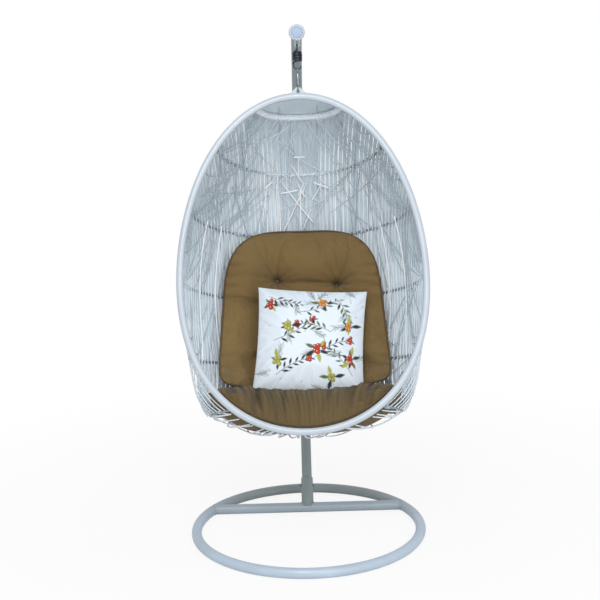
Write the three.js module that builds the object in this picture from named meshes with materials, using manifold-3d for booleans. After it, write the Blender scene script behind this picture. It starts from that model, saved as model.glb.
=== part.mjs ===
// A hanging egg chair: a C-shaped stand on a ring base, and an open woven egg basket that hangs
// from the stand's arm on a spring and a swivel. Millimetres, +Z up, the chair faces -Y.
// The origin is on the floor, in the middle of the chair's footprint.
import * as THREE from 'three';
import { mergeVertices } from 'three/addons/utils/BufferGeometryUtils.js';
import Module from 'manifold-3d';

const wasm = await Module();
wasm.setup();

// ---- driving dimensions ----
const GAP = 0.4; // between pieces that touch on the real chair
const DEG = Math.PI / 180;

const BASE = { radius: 452, tubeRadius: 21, segments: 40, sides: 8 };
const CROSSBAR = { y: 215, tubeRadius: 20.4, sides: 12 };
const POST = {
  radius: 21, bore: 18.4, sides: 10, lean: 35, straight: 300, lowerBend: 975, upperBend: 535,
  apexZ: 1976, jointZ: 1040, armOverhang: 42, lowerSteps: 11, upperSteps: 18,
};
const SOCKET = { radius: 25, bore: 21.5, length: 128, postInset: 42, boltInset: 34, sides: 16 };
const SPIGOT = { radius: 17.1, bore: 14.6, length: 170, boltOffset: 45 };
const BOLT = {
  radius: 4, clearance: 0.3, headRadius: 8, headHeight: 5, nutRadius: 7.5, nutHeight: 6, tip: 5, sides: 12,
};
const END_CAP = { radius: 30, discRadius: 21, skirt: 30, wallGap: 2.2, segments: 16 };

const EYE = { wire: 3.5, halfWidth: 7.5, bottomZ: 1921, shank: 8, weldGap: 1.5 };
const SPRING = {
  wire: 2.7, radius: 16.4, neckRadius: 9.5, turns: 6, pitch: 6.2, sides: 5, stepsPerTurn: 8,
  topLoop: 9.8, bottomLoop: 14,
};
const SWIVEL = {
  barrelRadius: 7.5, wire: 2.6, upperEye: 8.2, lowerEye: 9,
  bore: 4.6, boreDepth: 26, pin: 4.2, pinLength: 24,
};

const TILT = 18.5 * DEG; // the basket leans back by this much
const RIM = {
  halfWidth: 453, halfHeight: 630, taper: 0.1, fullness: 0.08, tubeRadius: 13, topZ: 1738,
  sides: 8, segments: 56,
};
const BOWL = { depth: 640, fill: 0.95, sideSwell: 0.95, bottomSwell: 0.06, swellDepth: 0.6 };
const HOOP = { radius: 4.5, sides: 5, steps: 18, heights: [0.7, 0.32, -0.1, -0.54, -0.86] };
const TOP_HOOP = { radius: 11, sides: 8, steps: 14, endHeight: 0.93, rise: 0.03 };
const RIB = {
  radius: 4, sides: 4, steps: 14, sideAngles: [25, 38, 142, 155], sideTop: 0.345, bottom: -0.85,
  uprights: [220, 72, -72, -220], start: 0.13, standOff: 2,
};
const WEAVE = {
  thickness: 4, width: 5.5, rimGap: 4, rodGap: 3.2, seed: 7,
  leastEdge: 3, leastHole: 90, facet: 150,
};
const BRACKET = {
  baseWidth: 60, topWidth: 18, topZ: 1771, thickness: 6, holeRadius: 6.5, wireZ: 1758,
  shoulder: 14, chamfer: 3,
};

const BACK_CUSHION = {
  halfWidth: 328, bottom: -405, top: 213, taper: 0.055, topSquareness: 3.2, bottomSquareness: 7,
  depth: 590, wrap: 150, wallGap: 28, thickness: 104, rings: 8, segments: 40,
  tuftX: 122, tuftRows: [30, -180], tuftDepth: 34, tuftSpread: 34,
};
const SEAT = {
  centre: [0, -95, 538], crown: 24, ridge: 84, ridgeY: -222, ridgeFront: 135, ridgeBehind: 62,
  depth: 150, cornerAngle: -50, rimShare: 0.965, rimGap: 6, back: 100, backBow: 1.3e-3, backZ: 563,
  backSlope: 0.27, sideShare: 0.9, floorShare: 0.86, pucker: 2.5, gathers: 9, rings: 8, segments: 40,
};
const PILLOW = {
  size: 438, thickness: 105, centre: [25, 0, 791], lean: 32, turn: 4, pullIn: 0.07, crown: 0.42,
  rings: 7, segments: 40,
};

// ---- colours and finishes ----
const FINISH = {
  frame: { color: 0xdfe3e8, roughness: 0.35, metalness: 0.2 },
  strand: { color: 0xf0f1f2, roughness: 0.55, metalness: 0 },
  spring: { color: 0x2b3236, roughness: 0.4, metalness: 0.9 },
  steel: { color: 0xb4bac0, roughness: 0.3, metalness: 1 },
  khaki: { color: 0x7d643e, roughness: 0.9, metalness: 0 },
  print: { color: 0xf4f3ee, roughness: 0.85, metalness: 0 },
  plastic: { color: 0xaebcd0, roughness: 0.45, metalness: 0 },
};

// ---- solid helpers ----
function cleaned(geometry) {
  geometry.deleteAttribute('normal');
  geometry.deleteAttribute('uv');
  return mergeVertices(geometry, 1e-3);
}

function toSolid(geometry) {
  const merged = cleaned(geometry);
  return new wasm.Manifold(new wasm.Mesh({
    numProp: 3,
    vertProperties: new Float32Array(merged.attributes.position.array),
    triVerts: new Uint32Array(merged.index.array),
  }));
}

function toGeometry(solid) {
  const mesh = solid.getMesh();
  const geometry = new THREE.BufferGeometry();
  geometry.setAttribute('position', new THREE.BufferAttribute(new Float32Array(mesh.vertProperties), 3));
  geometry.setIndex(Array.from(mesh.triVerts));
  return geometry;
}

function cut(geometry, ...tools) {
  return toGeometry(tools.reduce((solid, tool) => solid.subtract(toSolid(tool)), toSolid(geometry)));
}

function join(first, ...others) {
  return toGeometry(others.reduce((solid, other) => solid.add(toSolid(other)), toSolid(first)));
}

function circle(radius, sides, turn = 0) {
  const corner = (i) => {
    const angle = turn + (2 * Math.PI * i) / sides;
    return new THREE.Vector2(radius * Math.cos(angle), radius * Math.sin(angle));
  };
  return Array.from({ length: sides }, (_, i) => corner(i));
}

// A round rod along a curve, with flat ends; a bore makes it a pipe.
function rod(curve, radius, sides, steps, bore = 0) {
  const shape = new THREE.Shape(circle(radius, sides));
  if (bore > 0) shape.holes.push(new THREE.Path(circle(bore, sides)));
  return new THREE.ExtrudeGeometry(shape, { steps, extrudePath: curve, bevelEnabled: false });
}

function straightRod(from, to, radius, sides, bore = 0) {
  return rod(new THREE.LineCurve3(from, to), radius, sides, 1, bore);
}

// A profile of [radius, height] pairs turned about the Z axis.
function turned(profile, segments) {
  const points = profile.map(([radius, height]) => new THREE.Vector2(radius, height));
  return new THREE.LatheGeometry(points, segments).rotateX(Math.PI / 2);
}

function ring(radius, wire, segments, sides) {
  return new THREE.TorusGeometry(radius, wire, sides, segments);
}

// ---- the stand's post, a C in the YZ plane ----
class PostCurve extends THREE.Curve {
  constructor(startLength, endLength) {
    super();
    this.range = [startLength, endLength];
  }

  getPoint(t, target = new THREE.Vector3()) {
    const [start, end] = this.range;
    return target.copy(postPoint(start + (end - start) * t));
  }
}

const lean = POST.lean * DEG;
const lowerArc = POST.lowerBend * lean;
const uprightY = CROSSBAR.y + POST.straight * Math.sin(lean) + POST.lowerBend * (1 - Math.cos(lean));
const lowerBendTopZ = BASE.tubeRadius + POST.straight * Math.cos(lean) + POST.lowerBend * Math.sin(lean);
const upperBendZ = POST.apexZ - POST.upperBend;
const uprightLength = upperBendZ - lowerBendTopZ;
const jointLength = POST.straight + lowerArc + (POST.jointZ - lowerBendTopZ);
const apexY = uprightY - POST.upperBend;
const armAngle = Math.PI / 2 + Math.asin((apexY + POST.armOverhang) / POST.upperBend);
const postLength = POST.straight + lowerArc + uprightLength + POST.upperBend * armAngle;

// The post's centre line by length along it: a leaning straight, a bend to upright, a straight
// and a long bend forward over the basket.
function postPoint(length) {
  if (length < POST.straight) {
    const y = CROSSBAR.y + length * Math.sin(lean);
    return new THREE.Vector3(0, y, BASE.tubeRadius + length * Math.cos(lean));
  }
  if (length < POST.straight + lowerArc) {
    const angle = lean - (length - POST.straight) / POST.lowerBend;
    const y = uprightY - POST.lowerBend * (1 - Math.cos(angle));
    return new THREE.Vector3(0, y, lowerBendTopZ - POST.lowerBend * Math.sin(angle));
  }
  const above = length - POST.straight - lowerArc;
  if (above < uprightLength) return new THREE.Vector3(0, uprightY, lowerBendTopZ + above);
  const angle = (above - uprightLength) / POST.upperBend;
  const y = uprightY - POST.upperBend * (1 - Math.cos(angle));
  return new THREE.Vector3(0, y, upperBendZ + POST.upperBend * Math.sin(angle));
}

function baseRingGeometry(grow = 0) {
  const { radius, tubeRadius, sides, segments } = BASE;
  const flat = tubeRadius * Math.cos(Math.PI / sides);
  const profile = circle(tubeRadius + grow, sides, -Math.PI / 2 + Math.PI / sides);
  const points = [...profile, profile[0]].map((p) => [radius + p.x, flat + p.y]);
  return turned(points, segments);
}

function crossbarGeometry() {
  const reach = Math.sqrt(BASE.radius ** 2 - CROSSBAR.y ** 2);
  const height = BASE.tubeRadius;
  const end = new THREE.Vector3(reach, CROSSBAR.y, height);
  const bar = straightRod(end.clone().setX(-reach), end, CROSSBAR.tubeRadius, CROSSBAR.sides);
  return cut(bar, baseRingGeometry(GAP));
}

function boltHole(at) {
  const across = 3 * POST.radius;
  const [from, to] = [at.clone().setX(-across), at.clone().setX(across)];
  return straightRod(from, to, BOLT.radius + BOLT.clearance, BOLT.sides);
}

const boltPlaces = [
  { name: 'socket_bolt', at: postPoint(SOCKET.length - SOCKET.boltInset), reach: SOCKET.radius },
  { name: 'joint_bolt_lower', at: postPoint(jointLength - SPIGOT.boltOffset), reach: POST.radius },
  { name: 'joint_bolt_upper', at: postPoint(jointLength + SPIGOT.boltOffset), reach: POST.radius },
];
const boltHoles = () => boltPlaces.map(({ at }) => boltHole(at));

function socketGeometry() {
  const { radius, bore, length, sides } = SOCKET;
  const sleeve = straightRod(postPoint(0), postPoint(length), radius, sides, bore);
  const end = new THREE.Vector3(length, CROSSBAR.y, BASE.tubeRadius);
  const bar = straightRod(end.clone().setX(-length), end, CROSSBAR.tubeRadius + GAP, CROSSBAR.sides);
  return cut(sleeve, bar, boltHoles()[0]);
}

function boltGeometry(reach) {
  const { radius, headRadius, headHeight, nutHeight, tip, sides } = BOLT;
  const length = 2 * reach + nutHeight + tip;
  const profile = [
    [0, headHeight], [headRadius * 0.6, headHeight * 0.85], [headRadius, 0.6], [headRadius, 0],
    [radius, 0], [radius, -length], [0, -length],
  ];
  return turned(profile.reverse(), sides);
}

function nutGeometry() {
  const hexagon = new THREE.Shape(circle(BOLT.nutRadius, 6));
  hexagon.holes.push(new THREE.Path(circle(BOLT.radius + BOLT.clearance, 8)));
  return new THREE.ExtrudeGeometry(hexagon, { depth: BOLT.nutHeight, bevelEnabled: false });
}

// A domed cap with a round inset disc, pushed over the arm's end.
function endCapGeometry() {
  const { radius, discRadius, skirt, wallGap, segments } = END_CAP;
  const inner = POST.radius + wallGap;
  const profile = [
    [0, 9], [discRadius - 2, 9], [discRadius - 1, 7], [discRadius + 1, 7], [discRadius + 3, 10],
    [radius - 3, 7], [radius, 1], [radius, -8], [radius - 5, -skirt], [inner, -skirt], [inner, -1], [0, -1],
  ];
  return turned(profile.reverse(), segments);
}

// ---- the hanger ----
function hangerEyeGeometry() {
  const { wire, halfWidth, bottomZ, shank, weldGap } = EYE;
  const top = POST.apexZ - Math.sqrt(POST.radius ** 2 - (halfWidth - wire) ** 2) - weldGap;
  const points = [new THREE.Vector3(-halfWidth, 0, top), new THREE.Vector3(-halfWidth, 0, top - shank)];
  for (let i = 0; i <= 8; i += 1) {
    const angle = Math.PI + (Math.PI * i) / 8;
    const z = bottomZ + halfWidth + halfWidth * Math.sin(angle);
    points.push(new THREE.Vector3(halfWidth * Math.cos(angle), 0, z));
  }
  points.push(new THREE.Vector3(halfWidth, 0, top - shank), new THREE.Vector3(halfWidth, 0, top));
  return rod(new THREE.CatmullRomCurve3(points, false, 'centripetal'), wire, 6, 18);
}

const springTopWireZ = EYE.bottomZ + EYE.wire + SPRING.wire + GAP;
const topLoopZ = springTopWireZ - SPRING.topLoop;
const coilTopZ = topLoopZ - SPRING.topLoop - 2;
const coilBottomZ = coilTopZ - SPRING.turns * SPRING.pitch;
const bottomLoopZ = coilBottomZ - SPRING.bottomLoop - 3;
const springBottomWireZ = bottomLoopZ - SPRING.bottomLoop;

// The spring's centre line: a loop round the eye, the coil with its narrow neck, and an open hook.
function springPoints() {
  const points = [];
  const { topLoop, turns, stepsPerTurn, radius, neckRadius, bottomLoop } = SPRING;
  for (let degrees = -150; degrees <= 90; degrees += 30) {
    const angle = degrees * DEG;
    points.push(new THREE.Vector3(0, topLoop * Math.sin(angle), topLoopZ + topLoop * Math.cos(angle)));
  }
  const steps = turns * stepsPerTurn;
  for (let i = 1; i <= steps; i += 1) {
    const angle = Math.PI / 2 + (2 * Math.PI * i) / stepsPerTurn;
    const open = Math.min(1, (i - 1) / (1.5 * stepsPerTurn));
    const coil = neckRadius + (radius - neckRadius) * Math.sin((open * Math.PI) / 2);
    const z = coilTopZ - (SPRING.pitch * i) / stepsPerTurn;
    points.push(new THREE.Vector3(coil * Math.cos(angle), coil * Math.sin(angle), z));
  }
  points.push(new THREE.Vector3(-bottomLoop - 1, 9, coilBottomZ - 5));
  for (let degrees = -80; degrees >= -260; degrees -= 30) {
    const [x, z] = [bottomLoop * Math.sin(degrees * DEG), bottomLoop * Math.cos(degrees * DEG)];
    points.push(new THREE.Vector3(x, 0, bottomLoopZ + z));
  }
  return points;
}

function springGeometry() {
  const curve = new THREE.CatmullRomCurve3(springPoints(), false, 'centripetal');
  reportLeastGap('spring', curve, SPRING.wire);
  return rod(curve, SPRING.wire, SPRING.sides, 92);
}

// The least gap between stretches of a wound tube that are more than three diameters apart along it.
function reportLeastGap(name, curve, wireRadius) {
  const samples = 600;
  const points = curve.getSpacedPoints(samples);
  const skip = Math.ceil((6 * wireRadius * samples) / curve.getLength());
  let least = Infinity;
  for (let i = 0; i < points.length; i += 1) {
    for (let j = i + skip; j < points.length; j += 1) {
      least = Math.min(least, points[i].distanceTo(points[j]));
    }
  }
  console.log(`${name}: least gap to itself ${(least - 2 * wireRadius).toFixed(2)} mm`);
}

const upperEyeZ = springBottomWireZ + SPRING.wire + SWIVEL.wire + GAP - SWIVEL.upperEye;
const barrelTopZ = upperEyeZ - SWIVEL.upperEye;
const lowerEyeZ = BRACKET.wireZ + SWIVEL.lowerEye;
const barrelBottomZ = lowerEyeZ + SWIVEL.lowerEye + 2.5;

function barrelGeometry() {
  const { barrelRadius, bore, boreDepth, upperEye, wire } = SWIVEL;
  const profile = [
    [0, barrelTopZ + 1], [4.5, barrelTopZ + 1], [barrelRadius, barrelTopZ - 4],
    [barrelRadius, barrelBottomZ + 1.5], [barrelRadius - 1.5, barrelBottomZ], [bore, barrelBottomZ],
    [bore, barrelBottomZ + boreDepth], [0, barrelBottomZ + boreDepth],
  ];
  const eye = ring(upperEye, wire, 12, 6).rotateY(Math.PI / 2).translate(0, 0, upperEyeZ);
  return join(turned(profile.reverse(), 12), eye);
}

function lowerEyeGeometry() {
  const { pin, pinLength, lowerEye, wire } = SWIVEL;
  const [top, bottom] = [barrelBottomZ + pinLength, lowerEyeZ + lowerEye];
  const profile = [[0, top], [pin, top], [pin, barrelBottomZ + 1], [3, bottom], [0, bottom]];
  const eye = ring(lowerEye, wire, 12, 6).rotateY(Math.PI / 2).translate(0, 0, lowerEyeZ);
  return join(turned(profile.reverse(), 10), eye);
}

// ---- the egg basket, in its own frame: X across, Y into the bowl, Z up the rim ----
function rimHalfWidth(height) {
  return RIM.halfWidth * (1 - RIM.taper * height) * (1 + RIM.fullness * height ** 2);
}

class RimCurve extends THREE.Curve {
  getPoint(t, target = new THREE.Vector3()) {
    const angle = 2 * Math.PI * t;
    const height = Math.sin(angle);
    return target.set(rimHalfWidth(height) * Math.cos(angle), 0, RIM.halfHeight * height);
  }
}

function rimGeometry(grow = 0) {
  return new THREE.TubeGeometry(new RimCurve(), RIM.segments, RIM.tubeRadius + grow, RIM.sides, true);
}

// A point of the bowl: height is -1 at the rim's bottom and 1 at its top, angle runs round
// the back from 0 at the +X side of the rim to pi at the -X side.
function bowlSurface(angle, height) {
  const chord = Math.sqrt(Math.max(0, 1 - height * height));
  const y = BOWL.depth * (chord * Math.sin(angle)) ** BOWL.fill;
  const swell = bowlSwell(height, y);
  const x = rimHalfWidth(height) * chord * Math.cos(angle);
  return new THREE.Vector3(x * swell.side, y, RIM.halfHeight * height * swell.bottom);
}

// Behind the rim the lower half of the bowl swells out past it.
function bowlSwell(height, y) {
  const behind = Math.min(1, y / (BOWL.depth * BOWL.swellDepth));
  const share = Math.min(0, height) ** 4 * Math.sin(Math.PI * behind);
  return { side: 1 + BOWL.sideSwell * share, bottom: 1 + BOWL.bottomSwell * share };
}

// The bowl's point moved out along its normal, which is taken just inside the bowl's edges.
function bowlPoint(angle, height, outward = 0) {
  const [edge, highest, step] = [0.03, 0.995, 1e-3];
  const inside = THREE.MathUtils.clamp(angle, edge, Math.PI - edge);
  const level = THREE.MathUtils.clamp(height, -highest, highest);
  const along = bowlSurface(inside + step, level).sub(bowlSurface(inside - step, level));
  const up = bowlSurface(inside, level + step).sub(bowlSurface(inside, level - step));
  return bowlSurface(angle, height).addScaledVector(along.cross(up).normalize(), outward);
}

class BowlCurve extends THREE.Curve {
  constructor(route) {
    super();
    this.route = route;
  }

  getPoint(t, target = new THREE.Vector3()) {
    return target.copy(this.route(t));
  }
}

function hoopRod(height, grow = 0) {
  const curve = new BowlCurve((t) => bowlPoint(Math.PI * t, height));
  return rod(curve, HOOP.radius + grow, HOOP.sides, HOOP.steps);
}

const hoopGeometry = (height) => cut(hoopRod(height), rimGeometry(GAP));

const topHoopHeight = (angle) => TOP_HOOP.endHeight + TOP_HOOP.rise * Math.sin(angle);

function topHoopGeometry(grow = 0) {
  const curve = new BowlCurve((t) => bowlPoint(Math.PI * t, topHoopHeight(Math.PI * t)));
  return rod(curve, TOP_HOOP.radius + grow, TOP_HOOP.sides, TOP_HOOP.steps);
}

// The bowl's angle where a plane of constant X cuts it at a height.
function angleAtX(x, height) {
  const chord = Math.sqrt(1 - height * height);
  let angle = Math.PI / 2;
  for (let i = 0; i < 30; i += 1) {
    const y = BOWL.depth * (chord * Math.sin(angle)) ** BOWL.fill;
    const width = rimHalfWidth(height) * chord * bowlSwell(height, y).side;
    angle = Math.acos(THREE.MathUtils.clamp(x / width, -1, 1));
  }
  return angle;
}

function ribRod(route) {
  const outward = HOOP.radius + RIB.radius + RIB.standOff;
  const curve = new BowlCurve((t) => {
    const { angle, height } = route(t);
    return bowlPoint(angle, height, outward);
  });
  const crossed = [topHoopGeometry(GAP), hoopRod(HOOP.heights.at(-1), GAP), rimGeometry(GAP)];
  return cut(rod(curve, RIB.radius, RIB.sides, RIB.steps), ...crossed);
}

// A side rib keeps its angle round the bowl, from the second hoop down.
function sideRibGeometry(angle) {
  return ribRod((t) => ({ angle, height: THREE.MathUtils.lerp(RIB.sideTop, RIB.bottom, t) }));
}

// An upright rib lies in a plane of constant X and starts at the rim's top.
function uprightRibGeometry(x) {
  let top = 1;
  while (rimHalfWidth(top) * Math.sqrt(1 - top * top) < Math.abs(x)) top -= 1e-4;
  const end = Math.acos(RIB.bottom / top);
  return ribRod((t) => {
    const height = top * Math.cos(THREE.MathUtils.lerp(RIB.start, end, t));
    return { angle: angleAtX(x, height), height };
  });
}

// ---- the open weave ----
function seededRandom(seed) {
  let state = seed;
  return () => {
    state = (state * 16807) % 2147483647;
    return state / 2147483647;
  };
}

// Split a convex polygon by the line through a point in a direction.
function splitPolygon(polygon, origin, direction) {
  const side = (p) => direction.x * (p.y - origin.y) - direction.y * (p.x - origin.x);
  const halves = [[], []];
  polygon.forEach((p, i) => {
    const q = polygon[(i + 1) % polygon.length];
    const a = side(p);
    const b = side(q);
    if (a >= 0) halves[0].push(p);
    if (a <= 0) halves[1].push(p);
    if (a * b < 0) {
      const crossing = p.clone().lerp(q, a / (a - b));
      halves[0].push(crossing);
      halves[1].push(crossing);
    }
  });
  return halves.filter((half) => half.length > 2);
}

// Move each side of a convex polygon inwards; null when nothing is left.
function insetPolygon(polygon, inset) {
  let result = polygon;
  const area = THREE.ShapeUtils.area(polygon);
  const turn = Math.sign(area);
  for (let i = 0; i < polygon.length; i += 1) {
    const p = polygon[i];
    const direction = polygon[(i + 1) % polygon.length].clone().sub(p).normalize();
    const inwards = new THREE.Vector2(-direction.y, direction.x).multiplyScalar(turn * inset);
    const origin = p.clone().add(inwards);
    const side = (q) => turn * (direction.x * (q.y - origin.y) - direction.y * (q.x - origin.x));
    const kept = splitPolygon(result, origin, direction);
    result = kept.find((half) => half.reduce((sum, q) => sum + side(q), 0) > 0);
    if (!result) return null;
  }
  const corners = result.filter((p, i) => p.distanceTo(result[(i + 1) % result.length]) > WEAVE.leastEdge);
  return corners.length > 2 && Math.abs(THREE.ShapeUtils.area(corners)) > WEAVE.leastHole ? corners : null;
}

// A sheet of strands: long strands cross the panel at random, and what lies between them is open.
// The sheet is straight inside each of its facets and bends between them.
function weavePanel({ width, height, strands, place, facets, seed }) {
  const random = seededRandom(seed);
  let cells = [rectangle(0, 0, width, height)];
  for (let i = 0; i < strands; i += 1) {
    const upright = i % 3 !== 2;
    const angle = upright ? (90 + 50 * (random() - 0.5)) * DEG : 60 * (random() - 0.5) * DEG;
    const origin = new THREE.Vector2(width * (i + 0.2 + 0.6 * random()) / strands, height * random());
    const direction = new THREE.Vector2(Math.cos(angle), Math.sin(angle));
    cells = cells.flatMap((cell) => splitPolygon(cell, origin, direction));
  }
  const openings = cells.map((cell) => insetPolygon(cell, WEAVE.width / 2)).filter(Boolean)
    .map((cell) => toSolid(prism(cell, -1, 2)));
  const [across, up] = facets;
  const [facetWidth, facetHeight] = [width / across, height / up];
  const triangles = [];
  for (let k = 0; k < across * up; k += 1) {
    const [column, row] = [k % across, Math.floor(k / across)];
    const facet = rectangle(column * facetWidth, row * facetHeight, facetWidth, facetHeight);
    const open = openings.reduce((solid, opening) => solid.subtract(opening), toSolid(prism(facet, 0, 1)));
    triangles.push(...topTriangles(toGeometry(open)));
  }
  const bend = (x, y, depth) => {
    const column = Math.min(Math.floor(x / facetWidth), across - 1);
    const row = Math.min(Math.floor(y / facetHeight), up - 1);
    const corner = (i, j) => place((column + i) / across, (row + j) / up, depth);
    const [s, t] = [x / facetWidth - column, y / facetHeight - row];
    return corner(0, 0).lerp(corner(1, 0), s).lerp(corner(0, 1).lerp(corner(1, 1), s), t);
  };
  return bentSheet(triangles, bend);
}

function rectangle(x, y, width, height) {
  const corners = [[x, y], [x + width, y], [x + width, y + height], [x, y + height]];
  return corners.map(([u, v]) => new THREE.Vector2(u, v));
}

function prism(polygon, bottom, top) {
  const options = { depth: top - bottom, bevelEnabled: false };
  return new THREE.ExtrudeGeometry(new THREE.Shape(polygon), options).translate(0, 0, bottom);
}

// The triangles of a flat solid's top face, each as three points.
function topTriangles({ attributes: { position }, index }) {
  const corner = (i) => new THREE.Vector3().fromBufferAttribute(position, i);
  const triangles = [];
  for (let i = 0; i < index.count; i += 3) triangles.push([0, 1, 2].map((j) => corner(index.array[i + j])));
  return triangles.filter((triangle) => triangle.every((corner) => corner.z > 0.5));
}

// Lay flat triangles on a curved surface and give them the weave's thickness.
function bentSheet(triangles, place) {
  const points = [];
  const numbers = new Map();
  const number = (corner) => {
    const key = `${corner.x.toFixed(2)},${corner.y.toFixed(2)}`;
    if (!numbers.has(key)) {
      numbers.set(key, points.length);
      points.push(corner);
    }
    return numbers.get(key);
  };
  const numbered = triangles.map((triangle) => triangle.map(number));
  const top = numbered.filter(([a, b, c]) => a !== b && b !== c && c !== a);
  const count = points.length;
  const edges = new Set(top.flatMap(([a, b, c]) => [`${a},${b}`, `${b},${c}`, `${c},${a}`]));
  const pairs = [...edges].map((edge) => edge.split(',').map(Number));
  const walls = pairs.filter(([a, b]) => !edges.has(`${b},${a}`));
  const faces = [
    ...top,
    ...top.map(([a, b, c]) => [a + count, c + count, b + count]),
    ...walls.flatMap(([a, b]) => [[b, a, a + count], [b, a + count, b + count]]),
  ];
  const layer = (depth) => points.flatMap((p) => place(p.x, p.y, depth).toArray());
  const spots = [WEAVE.thickness, 0].flatMap(layer);
  const geometry = new THREE.BufferGeometry();
  geometry.setAttribute('position', new THREE.Float32BufferAttribute(spots, 3));
  geometry.setIndex(faces.flat());
  return toGeometry(toSolid(geometry));
}

const weaveInside = -(HOOP.radius + WEAVE.rodGap + WEAVE.thickness);

// The bowl angle at which the sheet is just behind the rim's tube.
function rimClearance(height) {
  const chord = Math.sqrt(1 - height * height);
  return Math.asin(((RIM.tubeRadius + WEAVE.rimGap) / BOWL.depth) ** (1 / BOWL.fill) / chord);
}

function bowlPanel(from, to, low, high, strands, seed) {
  const edge = (angle, height) => {
    if (angle === 0) return rimClearance(height);
    if (angle === 180) return Math.PI - rimClearance(height);
    return angle * DEG + (angle === from ? 1 : -1) * 0.004;
  };
  const place = (s, t, depth) => {
    const height = low + 0.003 + (high - low - 0.006) * t;
    const start = edge(from, height);
    const angle = start + (edge(to, height) - start) * s;
    return bowlPoint(angle, height, weaveInside + depth);
  };
  const middle = (low + high) / 2;
  const width = bowlSurface(from * DEG, middle).distanceTo(bowlSurface(to * DEG, middle)) * 1.05;
  const centre = ((from + to) / 2) * DEG;
  const height = bowlSurface(centre, low).distanceTo(bowlSurface(centre, high));
  const facets = [Math.round(width / WEAVE.facet), 2];
  return weavePanel({ width, height, strands, place, facets, seed });
}

// The sheet between a hoop and the rim beyond it, over the top of the bowl or under its bottom.
function endPanel(from, to, hoopHeight, start, strands, seed) {
  const nearRim = Math.sqrt(1 - ((RIM.tubeRadius + WEAVE.rimGap) / BOWL.depth) ** (2 / BOWL.fill));
  const up = Math.sign(hoopHeight(0));
  const rimEnd = Math.asin(Math.abs(hoopHeight(0)));
  const place = (s, t, depth) => {
    const angle = (from + (to - from) * s) * DEG;
    const level = hoopHeight(angle);
    const rimAngle = rimEnd + ((Math.PI - 2 * rimEnd) * angle) / Math.PI;
    const onHoop = new THREE.Vector2(Math.sqrt(1 - level * level) * Math.cos(angle), level);
    const onRim = new THREE.Vector2(Math.cos(rimAngle), up * Math.sin(rimAngle)).multiplyScalar(nearRim);
    const spot = onHoop.lerp(onRim, start + (1 - start) * Math.sin((t * Math.PI) / 2) ** 2);
    const chord = Math.sqrt(1 - spot.y * spot.y);
    return bowlPoint(Math.acos(spot.x / chord), spot.y, weaveInside + depth);
  };
  const width = place(0, 0, 0).distanceTo(place(1, 0, 0));
  const height = place(0.5, 0, 0).distanceTo(place(0.5, 1, 0));
  return weavePanel({ width, height, strands, place, facets: [3, 3], seed });
}

function bracketGeometry() {
  const { baseWidth, topWidth, topZ, thickness, holeRadius, wireZ, shoulder, chamfer } = BRACKET;
  const half = [
    [baseWidth / 2, RIM.topZ], [baseWidth / 2, RIM.topZ + shoulder],
    [topWidth / 2, topZ - chamfer], [topWidth / 2 - chamfer, topZ],
  ];
  const mirrored = half.map(([x, z]) => [-x, z]).reverse();
  const plate = new THREE.Shape([...half, ...mirrored].map(([x, z]) => new THREE.Vector2(x, z)));
  const holeZ = wireZ + SWIVEL.wire + 3 * GAP - holeRadius;
  const hole = circle(holeRadius, 12, Math.PI / 12).map((p) => new THREE.Vector2(p.x, p.y + holeZ));
  plate.holes.push(new THREE.Path(hole));
  const sheet = new THREE.ExtrudeGeometry(plate, { depth: thickness, bevelEnabled: false });
  sheet.rotateX(Math.PI / 2).translate(0, thickness / 2, 0);
  const rim = rimGeometry(GAP).rotateX(-TILT).translate(0, basketOrigin.y, basketOrigin.z);
  return cut(sheet, rim);
}

const basketOrigin = new THREE.Vector3(
  0, -RIM.halfHeight * Math.sin(TILT), RIM.topZ - RIM.halfHeight * Math.cos(TILT),
);

// ---- cushions ----
// A closed pad from two sheets of points that share their edge: place(r, angle, side) gives a
// point, with r from 0 in the middle to 1 at the seam and side 1 on the front and -1 on the back.
function padGeometry(rings, segments, place) {
  const faces = [];
  const index = (side, r, s) => {
    if (r === 0) return side > 0 ? 0 : 1;
    if (r === rings) return 2 + (s % segments);
    return 2 + segments + ((side > 0 ? 0 : rings - 1) + (r - 1)) * segments + (s % segments);
  };
  const points = [place(0, 0, 1), place(0, 0, -1)];
  for (let s = 0; s < segments; s += 1) points.push(place(1, (2 * Math.PI * s) / segments, 0));
  [1, -1].forEach((side) => {
    for (let r = 1; r < rings; r += 1) {
      const share = Math.sin(((r / rings) * Math.PI) / 2);
      for (let s = 0; s < segments; s += 1) {
        points.push(place(share, (2 * Math.PI * s) / segments, side));
      }
    }
  });
  [1, -1].forEach((side) => {
    for (let r = 0; r < rings; r += 1) {
      for (let s = 0; s < segments; s += 1) {
        const [a, b] = [index(side, r, s), index(side, r, s + 1)];
        const [c, d] = [index(side, r + 1, s), index(side, r + 1, s + 1)];
        if (r > 0) faces.push(side > 0 ? [a, d, b] : [a, b, d]);
        faces.push(side > 0 ? [a, c, d] : [a, d, c]);
      }
    }
  });
  const geometry = new THREE.BufferGeometry();
  const spots = points.flatMap((p) => p.toArray());
  geometry.setAttribute('position', new THREE.Float32BufferAttribute(spots, 3));
  geometry.setIndex(faces.flat());
  return geometry;
}

const superellipse = (angle, power) => {
  const [c, s] = [Math.cos(angle), Math.sin(angle)];
  return [Math.sign(c) * Math.abs(c) ** (2 / power), Math.sign(s) * Math.abs(s) ** (2 / power)];
};

// The depth of the bowl's wall at a point of its front view.
function wallDepth(x, z) {
  const height = z / RIM.halfHeight;
  const across = x / rimHalfWidth(height);
  return BOWL.depth * Math.max(0, 1 - across ** 2 - height ** 2) ** (BOWL.fill / 2);
}

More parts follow.
